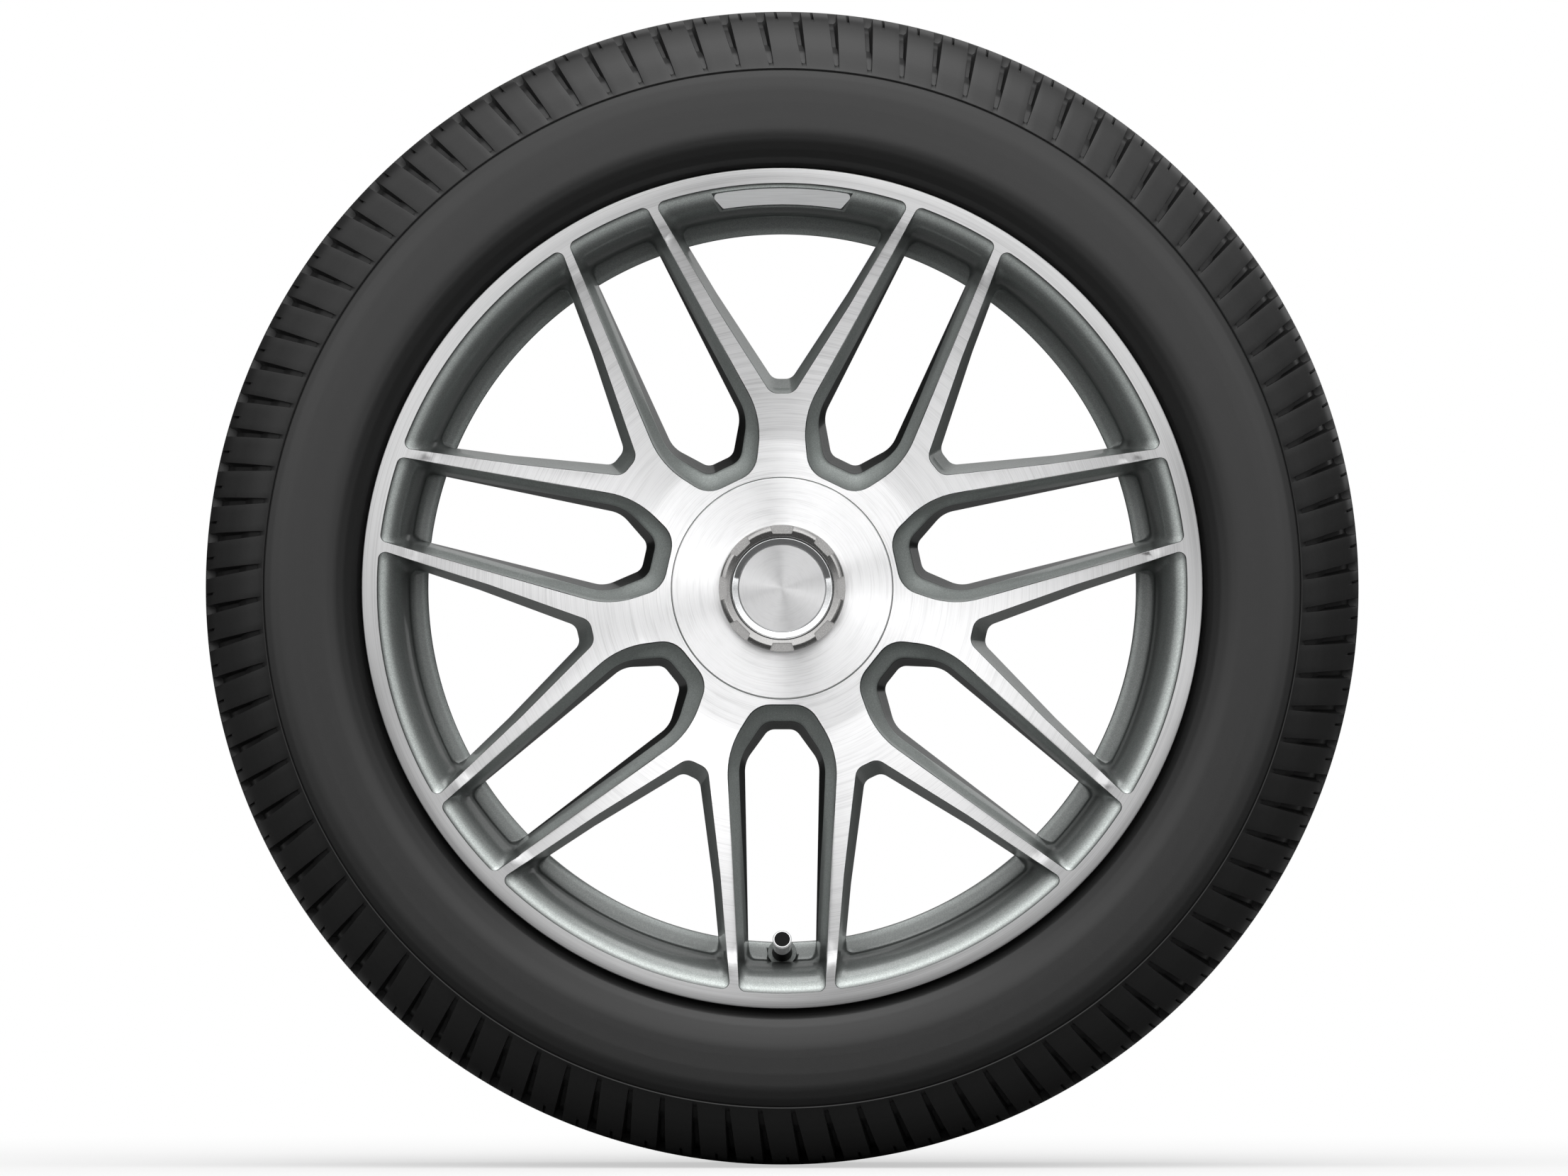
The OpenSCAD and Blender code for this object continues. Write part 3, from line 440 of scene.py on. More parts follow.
def sheet_region(outer, holes, radii, height, step):
    """Points and triangles of the area inside outer and outside the holes, with rings about the axis."""
    loops = [np.asarray(outer)[:, :2]] + [np.asarray(h)[:, :2] for h in holes]
    points, edges = [], []
    for loop in loops:
        first = len(points)
        points += [tuple(p) for p in loop]
        edges += [(first + i, first + (i + 1) % len(loop)) for i in range(len(loop))]
    extra = []
    for k, r in enumerate(radii):
        n = max(12, int(round(TURN * r / step)))
        extra.append(ring(r, 0, even(n, (k % 2) * math.pi / n))[:, :2])
    extra = np.concatenate(extra)
    keep = inside(extra, loops[0]) & ~near(extra, loops[0], 1.0)
    for hole in loops[1:]:
        centre, reach = hole.mean(axis=0), np.linalg.norm(hole - hole.mean(axis=0), axis=1).max() + 2
        close = np.linalg.norm(extra - centre, axis=1) < reach
        ids = np.where(close & keep)[0]
        if len(ids):
            bad = inside(extra[ids], hole) | near(extra[ids], hole, 0.9)
            keep[ids[bad]] = False
    points += [tuple(p) for p in extra[keep]]
    found = delaunay_2d_cdt([Vector(p) for p in points], edges, [], 0, 1e-5)
    flat = np.array([(p[0], p[1]) for p in found[0]])
    triangles = np.array([f for f in found[2] if len(f) == 3])
    middle = flat[triangles].mean(axis=1)
    good = inside(middle, loops[0])
    for hole in loops[1:]:
        good &= ~inside(middle, hole)
    return np.column_stack([flat, height(np.hypot(flat[:, 0], flat[:, 1]))]), triangles[good]


# Forged wheel
def ring_angles(foot_loops):
    """Angles of the barrel's points: those of the windows' feet, and some between them."""
    found = []
    for loop in foot_loops:
        r = np.hypot(loop[:, 0], loop[:, 1])
        on = np.abs(r - WELL_BORE_R) < 1e-6
        found += list(np.arctan2(loop[on, 1], loop[on, 0]) % TURN)
    found = np.unique(np.round(found, 7))
    gaps = np.diff(np.append(found, found[0] + TURN))
    limit = TURN / 300
    more = []
    for a, gap in zip(found, gaps):
        n = int(gap // limit)
        more += [a + gap * k / (n + 1) for k in range(1, n + 1)]
    return np.sort(np.concatenate([found, np.array(more) % TURN]))


def rounded_profile(corners, steps=4):
    """Profile of (radius, height, rounding) corners as (radius, height) points."""
    out = []
    for k, (r, w, rounding) in enumerate(corners):
        if rounding == 0 or k in (0, len(corners) - 1):
            out.append((r, w))
        else:
            a, b = corners[k - 1][:2], corners[k + 1][:2]
            out += [tuple(p) for p in arc_corner(a, (r, w), b, rounding, steps)]
    return out


def lathe(shape, profile, angles, mark=0, flip=False):
    """Turns a profile of (radius, height) points about the axis."""
    return shape.grid([ring(r, w, angles) for r, w in profile], mark, flip=flip)


def wheel_windows(shape):
    """Walls of all windows. Returns their outlines at the face and at the back."""
    heads, feet = [], []
    # First ring under the face's edge and the U walls below the ridge: darkest paint as painted shade
    upper = [SHADE_AND_BORDER] + [PAINT] * (RIDGE_LEVEL - 1)
    lower = LEVELS - 1 - RIDGE_LEVEL
    kinds = ((U_FRONT, U_BACK, U_WALL, 1.5 * math.pi, SHADE_AND_BORDER), (V_FRONT, V_BACK, V_WALL, 0.5 * math.pi, PAINT))
    for k in range(WINDOWS):
        for front, back, table, start, below in kinds:
            rings = [turned(r, start + k * TURN / WINDOWS) for r in window_rings(front, back, table)]
            foot = rings[-1]
            r = np.hypot(foot[:, 0], foot[:, 1])
            on = np.abs(r - WELL_BORE_R) < 0.02
            foot[on, :2] *= (WELL_BORE_R / r[on])[:, None]
            shape.grid(rings, upper + [below] * lower, flip=True)
            heads.append(rings[0])
            feet.append(foot)
    return heads, feet


def wheel_face(shape, heads, outer):
    """Turned face between the recess of the cover and the lip's edge."""
    radii = [77, 81, 86, 92, 98, 100.6, 105, 111, *range(118, 238, 7), 243, 246.2, 247.8, 251.5, 255.2,
             256.8, 261, 267, 273, 277]
    recess = ring(RECESS_R, 0, even(180))
    rim = ring(FLANGE_R - 1.2, 0, outer)
    shape.sheet(sheet_region(rim, [recess] + heads, radii, face_w, 6.0), FACE)


def spoke_backs(shape, feet, angles):
    """Back of the spokes between the hub and the drop centre."""
    radii = [88, 96, 106, 118, 130, 145, 160, 175, 190, 205, 220, 232]
    well = ring(WELL_BORE_R, 0, angles)
    hub = ring(PAD_R + 5, 0, even(180))
    shape.sheet(sheet_region(well, [hub] + feet, radii, back_w, 9.0), INNER, flip=True)


def barrel(shape, angles, outer):
    """Barrel from the lip's edge over both flanges to the drop centre's bore."""
    seat_r, hump_w = BEAD_R - 1.92, RIM_HALF - 24.2
    corners = [(FLANGE_R - 1.2, LIP_W, 0), (FLANGE_R - 0.35, LIP_W - 0.35, 0), (FLANGE_R, LIP_W - 1.2, 0),
               (FLANGE_R, RIM_HALF + 1, 0), (FLANGE_R, RIM_HALF, 0.8), (BEAD_R, RIM_HALF, 6),
               (seat_r, RIM_HALF - 22, 2), (seat_r + 1.1, hump_w, 1.5), (BEAD_R - 3.8, 90.4, 3),
               (245.5, 83.2, 3), (245.5, 43, 10), (257.5, 11, 20), (259.5, -68.7, 20),
               (BEAD_R - 3.8, 8 - hump_w, 3), (seat_r + 1.1, -hump_w, 1.5), (seat_r, 22 - RIM_HALF, 2),
               (BEAD_R, -RIM_HALF, 6), (FLANGE_R, -RIM_HALF, 4), (FLANGE_R, -LIP_W, 1.5),
               (FLANGE_R - 16, -LIP_W, 3), (BEAD_R - 9, 3 - RIM_HALF, 8), (252, -70.7, 20), (252, 8, 20),
               (WELL_BORE_R, 43, 12), (WELL_BORE_R, float(back_w(WELL_BORE_R)), 0)]
    profile = rounded_profile(corners)
    split = next(k for k, p in enumerate(profile) if p[1] < LIP_W - 3)
    lathe(shape, profile[:split + 1], outer, FACE, flip=True)
    rest = profile[split:]
    # The barrel has even angles and the bore has those of the windows' feet. They meet at one radius
    join = len(rest) - 8
    lathe(shape, rest[:join], outer, INNER, flip=True)
    lathe(shape, rest[join - 1:], angles, INNER, flip=True)


def forged_wheel(materials):
    """The one-piece wheel: turned face and lip, painted windows, barrel, hub and bolt seats."""
    shape = Shape()
    heads, feet = wheel_windows(shape)
    angles, outer = ring_angles(feet), even(360)
    wheel_face(shape, heads, outer)
    spoke_backs(shape, feet, angles)
    barrel(shape, angles, outer)
    hub_back = [(PAD_R + 5, float(back_w(PAD_R + 5))), (PAD_R + 2.2, PAD_W + 2.6),
                (PAD_R + 1.2, PAD_W + 0.9), (PAD_R, PAD_W)]
    lathe(shape, hub_back, even(180), INNER)
    pocket = rounded_profile([(RECESS_R, HUB_W, 0), (RECESS_R, LEDGE_W, 0.4), (POCKET_R, LEDGE_W, 0.5),
                              (POCKET_R, FLOOR_W, 2), (POCKET_R - 2.2, FLOOR_W, 0)])
    lathe(shape, pocket, even(180), INNER)
    hub_details(shape)
    plaque_land(shape)
    wheel = shape.build("forged_wheel", materials, 32)
    # Walls at the rim end of the windows take the plain paint, not the painted shade
    for face in wheel.data.polygons:
        x, y, z = face.center
        if face.material_index == SHADE_AND_BORDER and math.hypot(x, z) > SHADE_PAINT_R * MM and -y < SHADE_PAINT_W * MM:
            face.material_index = PAINT
    return wheel


def cut_spot_face(wheel):
    """Cuts the pocket round the valve's seat, whose axis leans with the wall."""
    shape = Shape()
    around = even(48)
    rows = [ring(SPOT_R, 0, around), ring(SPOT_R, SPOT_HIGH, around)]
    # The pocket takes the darkest paint, painted shade in the recess
    starts = shape.grid([at_valve(r) for r in rows], SHADE_AND_BORDER)
    shape.face([starts[0] + i for i in range(len(around))][::-1], SHADE_AND_BORDER)
    shape.face([starts[1] + i for i in range(len(around))], SHADE_AND_BORDER)
    cutter = shape.build("spot_face_cutter", list(wheel.data.materials))
    cut = wheel.modifiers.new("spot_face", "BOOLEAN")
    cut.object, cut.operation, cut.solver = cutter, "DIFFERENCE", "EXACT"
    bpy.context.view_layer.update()
    graph = bpy.context.evaluated_depsgraph_get()
    made = bpy.data.meshes.new_from_object(wheel.evaluated_get(graph))
    wheel.modifiers.clear()
    wheel.data = made
    bpy.data.objects.remove(cutter)


def land_w(r):
    """Height of the raised land's face at a radius."""
    return LIP_W - 0.8 - (LIP_IN_R - 1 - r) * LAND_SLOPE


def plaque_land(shape):
    """Raised land on the rolled surface that carries the plaque. Its ends lean as the plaque's do."""
    low, high, edge = LAND_R, LIP_IN_R - 1, 0.7
    profile = [(low + 3, LIP_W - 16), (low, LIP_W - 14), (low, land_w(low) - edge)]
    profile += [(r, land_w(r)) for r in (low + edge, 258.3, 261, 265, 268.5, 270.6, high)]
    profile.append((high, LIP_W - 6))
    # The land's face under and round the plaque takes the darkest paint, which draws a dark border round the
    # plaque
    marks = [PAINT] * 4 + [SHADE_AND_BORDER] * 4 + [PAINT] * 2
    middle, ends = [], ([], [])
    for r, w in profile:
        half = LAND_LOW + (LAND_HIGH - LAND_LOW) * (r - low) / (high - low)
        inner_half = half - LAND_MARGIN
        middle.append(ring(r, w, np.linspace(-inner_half, inner_half, 61) + math.pi / 2))
        for end, side in zip(ends, (-1, 1)):
            foot, corner, inner = ring(r, w, np.array([half, half, inner_half]) * side + math.pi / 2)
            foot[2] = LIP_W - 16.0
            corner[2] -= edge
            end.append(np.array([foot, corner, inner][::-side]))
    shape.grid(middle, marks, closed=False)
    for end in ends:
        shape.grid(end, PAINT, closed=False)


def hub_details(shape):
    """Pocket floor and mounting face with the bore, the bolt seats and the lightening pockets."""
    around = even(36)

    def centres(r, start):
        return [(r * math.cos(a), r * math.sin(a), 0) for a in even(BOLTS, start)]

    def circle(centre, r, w):
        return ring(r, w, around) + np.array(centre)

    def flat(height):
        return lambda r: np.full(len(r), float(height))

    bolts = centres(BOLT_RING_R, math.pi / 2)
    lights = centres(LIGHT_RING_R, math.pi / 2 + math.pi / BOLTS)
    floor_rim, pad_rim = ring(POCKET_R - 2.2, 0, even(180)), ring(PAD_R, 0, even(180))
    floor_holes = [ring(BORE_R + 1, 0, even(90))] + [circle(c, HEAD_R, 0) for c in bolts]
    shape.sheet(sheet_region(floor_rim, floor_holes, [38, 44, 56, 66], flat(FLOOR_W), 9), INNER)
    pad_holes = [ring(BORE_R + 1.5, 0, even(90))] + [circle(c, BOLT_R, 0) for c in bolts]
    pad_holes += [circle(c, LIGHT_R, 0) for c in lights]
    shape.sheet(sheet_region(pad_rim, pad_holes, [40, 46, 56, 66, 73], flat(PAD_W), 9), FACE, flip=True)
    bore = [(BORE_R + 1, FLOOR_W), (BORE_R, FLOOR_W - 1), (BORE_R, PAD_W + 1.5), (BORE_R + 1.5, PAD_W)]
    lathe(shape, bore, even(90), FACE)
    for c in bolts:
        rows = [circle(c, HEAD_R, FLOOR_W), circle(c, HEAD_R, FLOOR_W - HEAD_DEPTH + 6),
                circle(c, BOLT_R, FLOOR_W - HEAD_DEPTH), circle(c, BOLT_R, PAD_W)]
        shape.grid(rows, FACE)
    for c in lights:
        rows = [circle(c, LIGHT_R, PAD_W), circle(c, LIGHT_R, PAD_W + LIGHT_DEPTH - 1.5),
                circle(c, LIGHT_R - 1.5, PAD_W + LIGHT_DEPTH)]
        shape.grid(rows, INNER, flip=True)
        top = shape.add(rows[-1])
        shape.face([top + i for i in range(len(around))][::-1], INNER)


def core_spring(materials):
    """Coil spring of the valve's core, which the pin presses together."""
    shape = Shape()
    around = even(8)
    rows = []
    steps = SPRING_TURNS * 20
    for i in range(steps + 1):
        angle = TURN * i / 20
        r = SPRING_R + SPRING_WIRE * np.cos(around)
        rise = SPRING_LOW + (SPRING_HIGH - SPRING_LOW) * i / steps + SPRING_WIRE * np.sin(around)
        rows.append(at_valve(np.stack([r * math.cos(angle), r * math.sin(angle), rise], 1)))
    starts = shape.grid(rows)
    for start, flip in ((starts[0], False), (starts[-1], True)):
        ids = [start + i for i in range(len(around))]
        shape.face(ids[::-1] if flip else ids)
    coil = shape.build("core_spring_coil", materials, 60, 0.00002)
    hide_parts("valve_core_spring")
    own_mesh(coil)


# Tyre
def crown_r(w):
    """Radius of the tread at a height."""
    return TYRE_R - CROWN_DROP * (w / EDGE_W) ** 2


def tyre_lathe(materials):
    """Beads, sidewalls and the smooth inside, up to the shoulders and the floor of the tread."""
    shape = Shape()
    side = [(FLOOR_R - 2, 0, 0), (FLOOR_R - 2, EDGE_W - 26, 0), (FLOOR_R - 4, EDGE_W - 6, 6),
            (CREASE_R + 12, 127, 10), (CREASE_R - 1.2, 137.7, 0.5), (345, 139.5, 12), (338, 141.15, 30),
            (328, TYRE_HALF, 40), (317, TYRE_HALF - 0.1, 40), (309, 141.2, 30), (302, 139.4, 20),
            (296, 136.4, 14), (291, 132.6, 10), (287, 128.3, 6), (FLANGE_R + 0.8, 123.6, 1.5),
            (FLANGE_R + 0.6, RIM_HALF + 1, 0.5), (FLANGE_R + 0.3, RIM_HALF - 0.3, 1),
            (BEAD_R + 0.3, RIM_HALF - 0.3, 7), (BEAD_R - 1.45, RIM_HALF - 20, 2),
            (BEAD_R + 6, RIM_HALF - 21, 3), (FLANGE_R + 2, RIM_HALF - 13, 12), (FLANGE_R + 22, 132, 40),
            (CREASE_R - 17, 132, 50), (CREASE_R - 2, 124, 40), (371, 90, 30), (372, 0, 0)]
    half = rounded_profile(side, 7)
    angles = even(300)
    lathe(shape, half, angles)
    lathe(shape, [(r, -w) for r, w in half], angles, flip=True)
    return shape.build("tyre_carcass", materials, 35)


def block_columns(start, half, depth, sipe, sipe_half, sipe_depth, r):
    """Angles across one pitch and the depth of each: first over the groove, then over the block's sipe."""
    slack = min(1.0, depth / 2.0) * 0.5 / r + 1e-5
    edge = 0.12 * min(1, depth)
    left, right, middle = start - half, start + half, start + sipe
    pitch = TURN / BLOCKS
    return [(left - slack * 1.6, 0.0), (left - slack * 0.4, edge), (left + slack * 0.6, depth * 0.8),
            (start - half * 0.5, depth), (start + half * 0.5, depth), (right - slack * 0.6, depth * 0.8),
            (right + slack * 0.4, edge), (right + slack * 1.6, 0.0), (right + (sipe - half) * 0.5, 0.0),
            (middle - sipe_half * 1.05, 0.0), (middle - sipe_half * 0.85, sipe_depth),
            (middle + sipe_half * 0.85, sipe_depth), (middle + sipe_half * 1.05, 0.0),
            (middle + (pitch - half - sipe) * 0.45, 0.0)]


def shoulder_tread(side, materials):
    """One shoulder's tread: a band of blocks between leaning grooves, each block with a sipe."""
    shape = Shape()
    rows = []
    for r, w in SHOULDER:
        climb = max(0.0, min(1.0, (r - CREASE_R) / (TYRE_R + 6 - CREASE_R)))
        lean = GROOVE_START + GROOVE_LEAN * climb
        half = (GROOVE_LOW + (GROOVE_HIGH - GROOVE_LOW) * climb) / 2 / r
        depth = groove_depth(r, w)
        sipe = SIPE_START + SIPE_LEAN * climb
        sipe_depth = SIPE_DEPTH * smooth_step((r - SIPE_R) / 2.5) if w > 80 else 0.0
        out_r, out_w = shoulder_normal(r, w)
        row = []
        for k in range(BLOCKS):
            start = k * TURN / BLOCKS + lean
            for angle, sink in block_columns(start, half, depth, sipe, SIPE_HALF / r, sipe_depth, r):
                at_r, at_w = r - out_r * sink, w - out_w * sink
                row.append((at_r * math.cos(angle), at_r * math.sin(angle), at_w * side))
        rows.append(np.array(row))
    turn = np.arctan2(rows[-1][:, 1], rows[-1][:, 0])
    closing = [ring(r, w * side, turn) for r, w in SHOULDER_FOOT]
    shape.grid(rows + closing + [rows[0]], flip=side > 0)
    return shape.build("tread_shoulder_" + ("outer" if side > 0 else "inner"), materials, 38)


def groove_depth(r, w):
    """Depth of a shoulder groove at a point of the band's profile."""
    rise = smooth_step((r - CREASE_R - 1.2) / 12.0)
    fall = 1.0 if w > 84 else smooth_step((w - 73.5) / 8.0 + 0.4)
    return GROOVE_DEPTH * rise * fall if w > 73.6 else 0.0


def shoulder_normal(r, w):
    """Direction out of the shoulder band at a point."""
    line = np.array(SHOULDER[:SHOULDER_TOP], float)
    k = int(np.argmin(np.hypot(line[:, 0] - r, line[:, 1] - w)))
    a, b = line[max(0, k - 1)], line[min(len(line) - 1, k + 1)]
    run = b - a
    out = np.array([-run[1], run[0]])
    out = out / np.linalg.norm(out)
    return (out[0], out[1]) if out[0] + out[1] > 0 else (-out[0], -out[1])


def centre_ribs(materials):
    """The ribs round the middle of the tread."""
    shape = Shape()
    angles = even(400)
    for low, high in RIBS:
        line = [(FLOOR_R - 4, low), (crown_r(low) - 0.8, low), (crown_r(low), low + 0.8)]
        line += [(crown_r(w), w) for w in np.linspace(low, high, 7)[1:-1]]
        line += [(crown_r(high), high - 0.8), (crown_r(high) - 0.8, high), (FLOOR_R - 4, high)]
        lathe(shape, line + [line[0]], angles, flip=True)
    return shape.build("tread_ribs", materials, 38)


# Materials
class Tree:
    """A node tree with short calls for its nodes."""

    def __init__(self, tree):
        self.tree = tree

    def new(self, kind, **settings):
        node = self.tree.nodes.new("ShaderNode" + kind)
        for key, value in settings.items():
            setattr(node, key, value)
        return node

    def link(self, a, b):
        self.tree.links.new(a, b)

    def math(self, operation, *values):
        node = self.new("Math", operation=operation)
        for socket, value in zip(node.inputs, values):
            if isinstance(value, (int, float)):
                socket.default_value = value
            else:
                self.link(value, socket)
        return node.outputs[0]

    def ramp(self, value, stops):
        """Colour by a value, given as (position, colour) stops."""
        node = self.new("ValToRGB")
        while len(node.color_ramp.elements) < len(stops):
            node.color_ramp.elements.new(0.5)
        for element, (at, colour) in zip(node.color_ramp.elements, stops):
            element.position = at
            element.color = (*colour, 1)
        self.link(value, node.inputs[0])
        return node.outputs[0]

    def levels(self, value, stops):
        """The same with grey levels."""
        return self.ramp(value, [(at, grey(level)) for at, level in stops])


class Nodes(Tree):
    """A material's node tree with its main shader."""

    def __init__(self, name):
        self.material = bpy.data.materials.new(name)
        self.material.use_nodes = True
        super().__init__(self.material.node_tree)
        self.shader = self.tree.nodes["Principled BSDF"]

    def set(self, **values):
        """Constant values of the shader's own sockets."""
        for key, value in values.items():
            self.shader.inputs[key.replace("_", " ")].default_value = value

    def place(self):
        """Position in the object's own frame, in metres."""
        return self.new("TexCoord").outputs["Object"]

    def polar(self, ring_scale, turn_scale):
        """Radius and angle about the wheel's axis as a texture position, scaled, with no seam."""
        split = self.new("SeparateXYZ")
        self.link(self.place(), split.inputs[0])
        x, _, z = split.outputs
        r = self.math("SQRT", self.math("ADD", self.math("MULTIPLY", x, x), self.math("MULTIPLY", z, z)))
        inverse = self.math("DIVIDE", turn_scale, self.math("MAXIMUM", r, 0.002))
        join = self.new("CombineXYZ")
        self.link(self.math("MULTIPLY", r, ring_scale), join.inputs[0])
        self.link(self.math("MULTIPLY", x, inverse), join.inputs[1])
        self.link(self.math("MULTIPLY", z, inverse), join.inputs[2])
        return join.outputs[0], r

    def noise(self, vector, scale, detail=2.0, roughness=0.5):
        node = self.new("TexNoise")
        node.inputs["Scale"].default_value = scale
        node.inputs["Detail"].default_value = detail
        node.inputs["Roughness"].default_value = roughness
        self.link(vector, node.inputs["Vector"])
        return node.outputs["Fac"]

    def painted_light_by_radius(self, tone, r, painted_light):
        """Colour times a factor of the radius, given as (radius, factor) stops, which paints light and shade
        into the colour.
        """
        stops = [(at / PAINTED_LIGHT_R, level / 2) for at, level in painted_light]
        shade = self.levels(self.math("DIVIDE", r, PAINTED_LIGHT_R * MM), stops)
        product = self.new("VectorMath", operation="MULTIPLY")
        self.link(tone, product.inputs[0])
        self.link(shade, product.inputs[1])
        doubled = self.new("VectorMath", operation="SCALE")
        self.link(product.outputs[0], doubled.inputs[0])
        doubled.inputs["Scale"].default_value = 2.0
        return doubled.outputs[0]

    def bump(self, height, distance, strength=1.0):
        node = self.new("Bump")
        node.inputs["Distance"].default_value = distance
        node.inputs["Strength"].default_value = strength
        self.link(height, node.inputs["Height"])
        self.link(node.outputs[0], self.shader.inputs["Normal"])

    def span(self, value, low, high):
        """Value from 0 to 1 mapped to low to high."""
        node = self.new("MapRange")
        node.inputs["To Min"].default_value = low
        node.inputs["To Max"].default_value = high
        self.link(value, node.inputs["Value"])
        return node.outputs[0]


def grey(v):
    """The colour of a grey level."""
    return (v, v, v)


def turned_metal(name, colour, roughness, anisotropy, lines=1.0, painted_light=None):
    """Metal turned on a lathe: fine rings, broad bands and a fan-shaped gloss, with light and shade painted
    into its colour by radius where stops are given.
    """
    m = Nodes(name)
    fine, r = m.polar(1600.0, 1.3)
    cuts = m.noise(fine, 1.0, 3.0, 0.7)
    broad, _ = m.polar(260.0, 2.2)
    bands = m.noise(broad, 1.0, 2.0, 0.6)
    mixed = m.math("ADD", m.math("MULTIPLY", cuts, 0.65), m.math("MULTIPLY", bands, 0.35))
    low = tuple(c * (1 - 0.16 * lines) for c in colour)
    high = tuple(min(1.0, c * (1 + 0.06 * lines)) for c in colour)
    tone = m.ramp(mixed, [(0.38, low), (0.5, colour), (0.62, high)])
    # Light and shade painted into the colour by radius
    if painted_light:
        tone = m.painted_light_by_radius(tone, r, painted_light)
    m.link(tone, m.shader.inputs["Base Color"])
    m.link(m.span(mixed, roughness - 0.08, roughness + 0.08), m.shader.inputs["Roughness"])
    m.set(Metallic=1.0, Anisotropic=anisotropy, Anisotropic_Rotation=0.25)
    tangent = m.new("Tangent", direction_type="RADIAL", axis="Y")
    m.link(tangent.outputs[0], m.shader.inputs["Tangent"])
    m.bump(cuts, 0.00002 * lines, 0.6)
    return m.material


def metallic_paint(name, dark, light, coat=0.6, metallic=1.0, painted_light=None):
    """Dark metallic paint with fine bright flakes under a clear coat, with light and shade painted into its
    colour by radius where stops are given.
    """
    m = Nodes(name)
    cells = m.new("TexVoronoi")
    cells.inputs["Scale"].default_value = 2200.0
    m.link(m.place(), cells.inputs["Vector"])
    split = m.new("SeparateColor")
    m.link(cells.outputs["Color"], split.inputs[0])
    clouds = m.noise(m.place(), 30.0, 3.0)
    value = m.math("ADD", m.math("MULTIPLY", split.outputs[0], 0.8), m.math("MULTIPLY", clouds, 0.2))
    middle = tuple((a + b) / 2 for a, b in zip(dark, light))
    tone = m.ramp(value, [(0.1, dark), (0.6, middle), (0.95, light)])
    # Light and shade painted into the colour by radius
    if painted_light:
        tone = m.painted_light_by_radius(tone, m.polar(1.0, 1.0)[1], painted_light)
    m.link(tone, m.shader.inputs["Base Color"])
    m.link(m.span(split.outputs[1], 0.34, 0.42), m.shader.inputs["Roughness"])
    m.set(Metallic=metallic, Coat_Weight=coat, Coat_Roughness=0.1)
    m.bump(split.outputs[2], 0.00001, 0.5)
    return m.material


def rubber(name, value, roughness=0.5, grain=900.0, gloss=0.5):
    """Black rubber with a fine moulded grain and faint rings."""
    m = Nodes(name)
    fine = m.noise(m.place(), grain, 3.0, 0.6)
    rings, _ = m.polar(240.0, 0.5)
    lines = m.noise(rings, 1.0, 1.0)
    mixed = m.math("ADD", m.math("MULTIPLY", fine, 0.6), m.math("MULTIPLY", lines, 0.4))
    tone = m.levels(mixed, [(0.3, value * 0.85), (0.7, value * 1.15)])
    m.link(tone, m.shader.inputs["Base Color"])
    m.link(m.span(fine, roughness - 0.06, roughness + 0.06), m.shader.inputs["Roughness"])
    m.set(Specular_IOR_Level=gloss)
    m.bump(fine, 0.00006, 0.5)
    return m.material


def satin_metal(name, colour, roughness=0.3, grain=1200.0, metallic=1.0):
    """Plated or bead-blasted metal with a fine grain."""
    m = Nodes(name)
    fine = m.noise(m.place(), grain, 2.0)
    low, high = tuple(c * 0.93 for c in colour), tuple(min(1, c * 1.05) for c in colour)
    m.link(m.ramp(fine, [(0.35, low), (0.65, high)]), m.shader.inputs["Base Color"])
    m.link(m.span(fine, roughness * 0.85, roughness * 1.15), m.shader.inputs["Roughness"])
    m.set(Metallic=metallic)
    m.bump(fine, 0.000008, 0.5)
    return m.material


def brushed_plate(name, colour):
    """Plate brushed from side to side."""
    m = Nodes(name)
    scale = m.new("Mapping")
    scale.inputs["Scale"].default_value = (40.0, 300.0, 2600.0)
    m.link(m.place(), scale.inputs["Vector"])
    fine = m.noise(scale.outputs[0], 1.0, 3.0)
    low = tuple(c * 0.86 for c in colour)
    m.link(m.ramp(fine, [(0.3, low), (0.7, colour)]), m.shader.inputs["Base Color"])
    m.link(m.span(fine, 0.28, 0.42), m.shader.inputs["Roughness"])
    m.set(Metallic=0.5)
    m.bump(fine, 0.00002, 0.5)
    return m.material


def plastic(name, colour, roughness=0.42, gloss=0.5):
    """Moulded plastic with a fine matt grain."""
    m = Nodes(name)
    fine = m.noise(m.place(), 1800.0, 2.0)
    low = tuple(c * 0.88 for c in colour)
    m.link(m.ramp(fine, [(0.3, low), (0.7, colour)]), m.shader.inputs["Base Color"])
    m.link(m.span(fine, roughness - 0.05, roughness + 0.05), m.shader.inputs["Roughness"])
    m.set(Specular_IOR_Level=gloss)
    m.bump(fine, 0.00002, 0.4)
    return m.material


# Scene
def lamp(name, place, width, height, watts):
    """A rectangular lamp aimed at the wheel's centre and hidden from the camera."""
    data = bpy.data.lights.new(name, "AREA")
    data.shape = "RECTANGLE"
    data.size, data.size_y = width, height
    data.energy = watts
    obj = new_object(name, data)
    obj.location = place
    obj.rotation_mode = "QUATERNION"
    obj.rotation_quaternion = (-Vector(place)).to_track_quat("-Z", "Y")
    obj.visible_camera = False


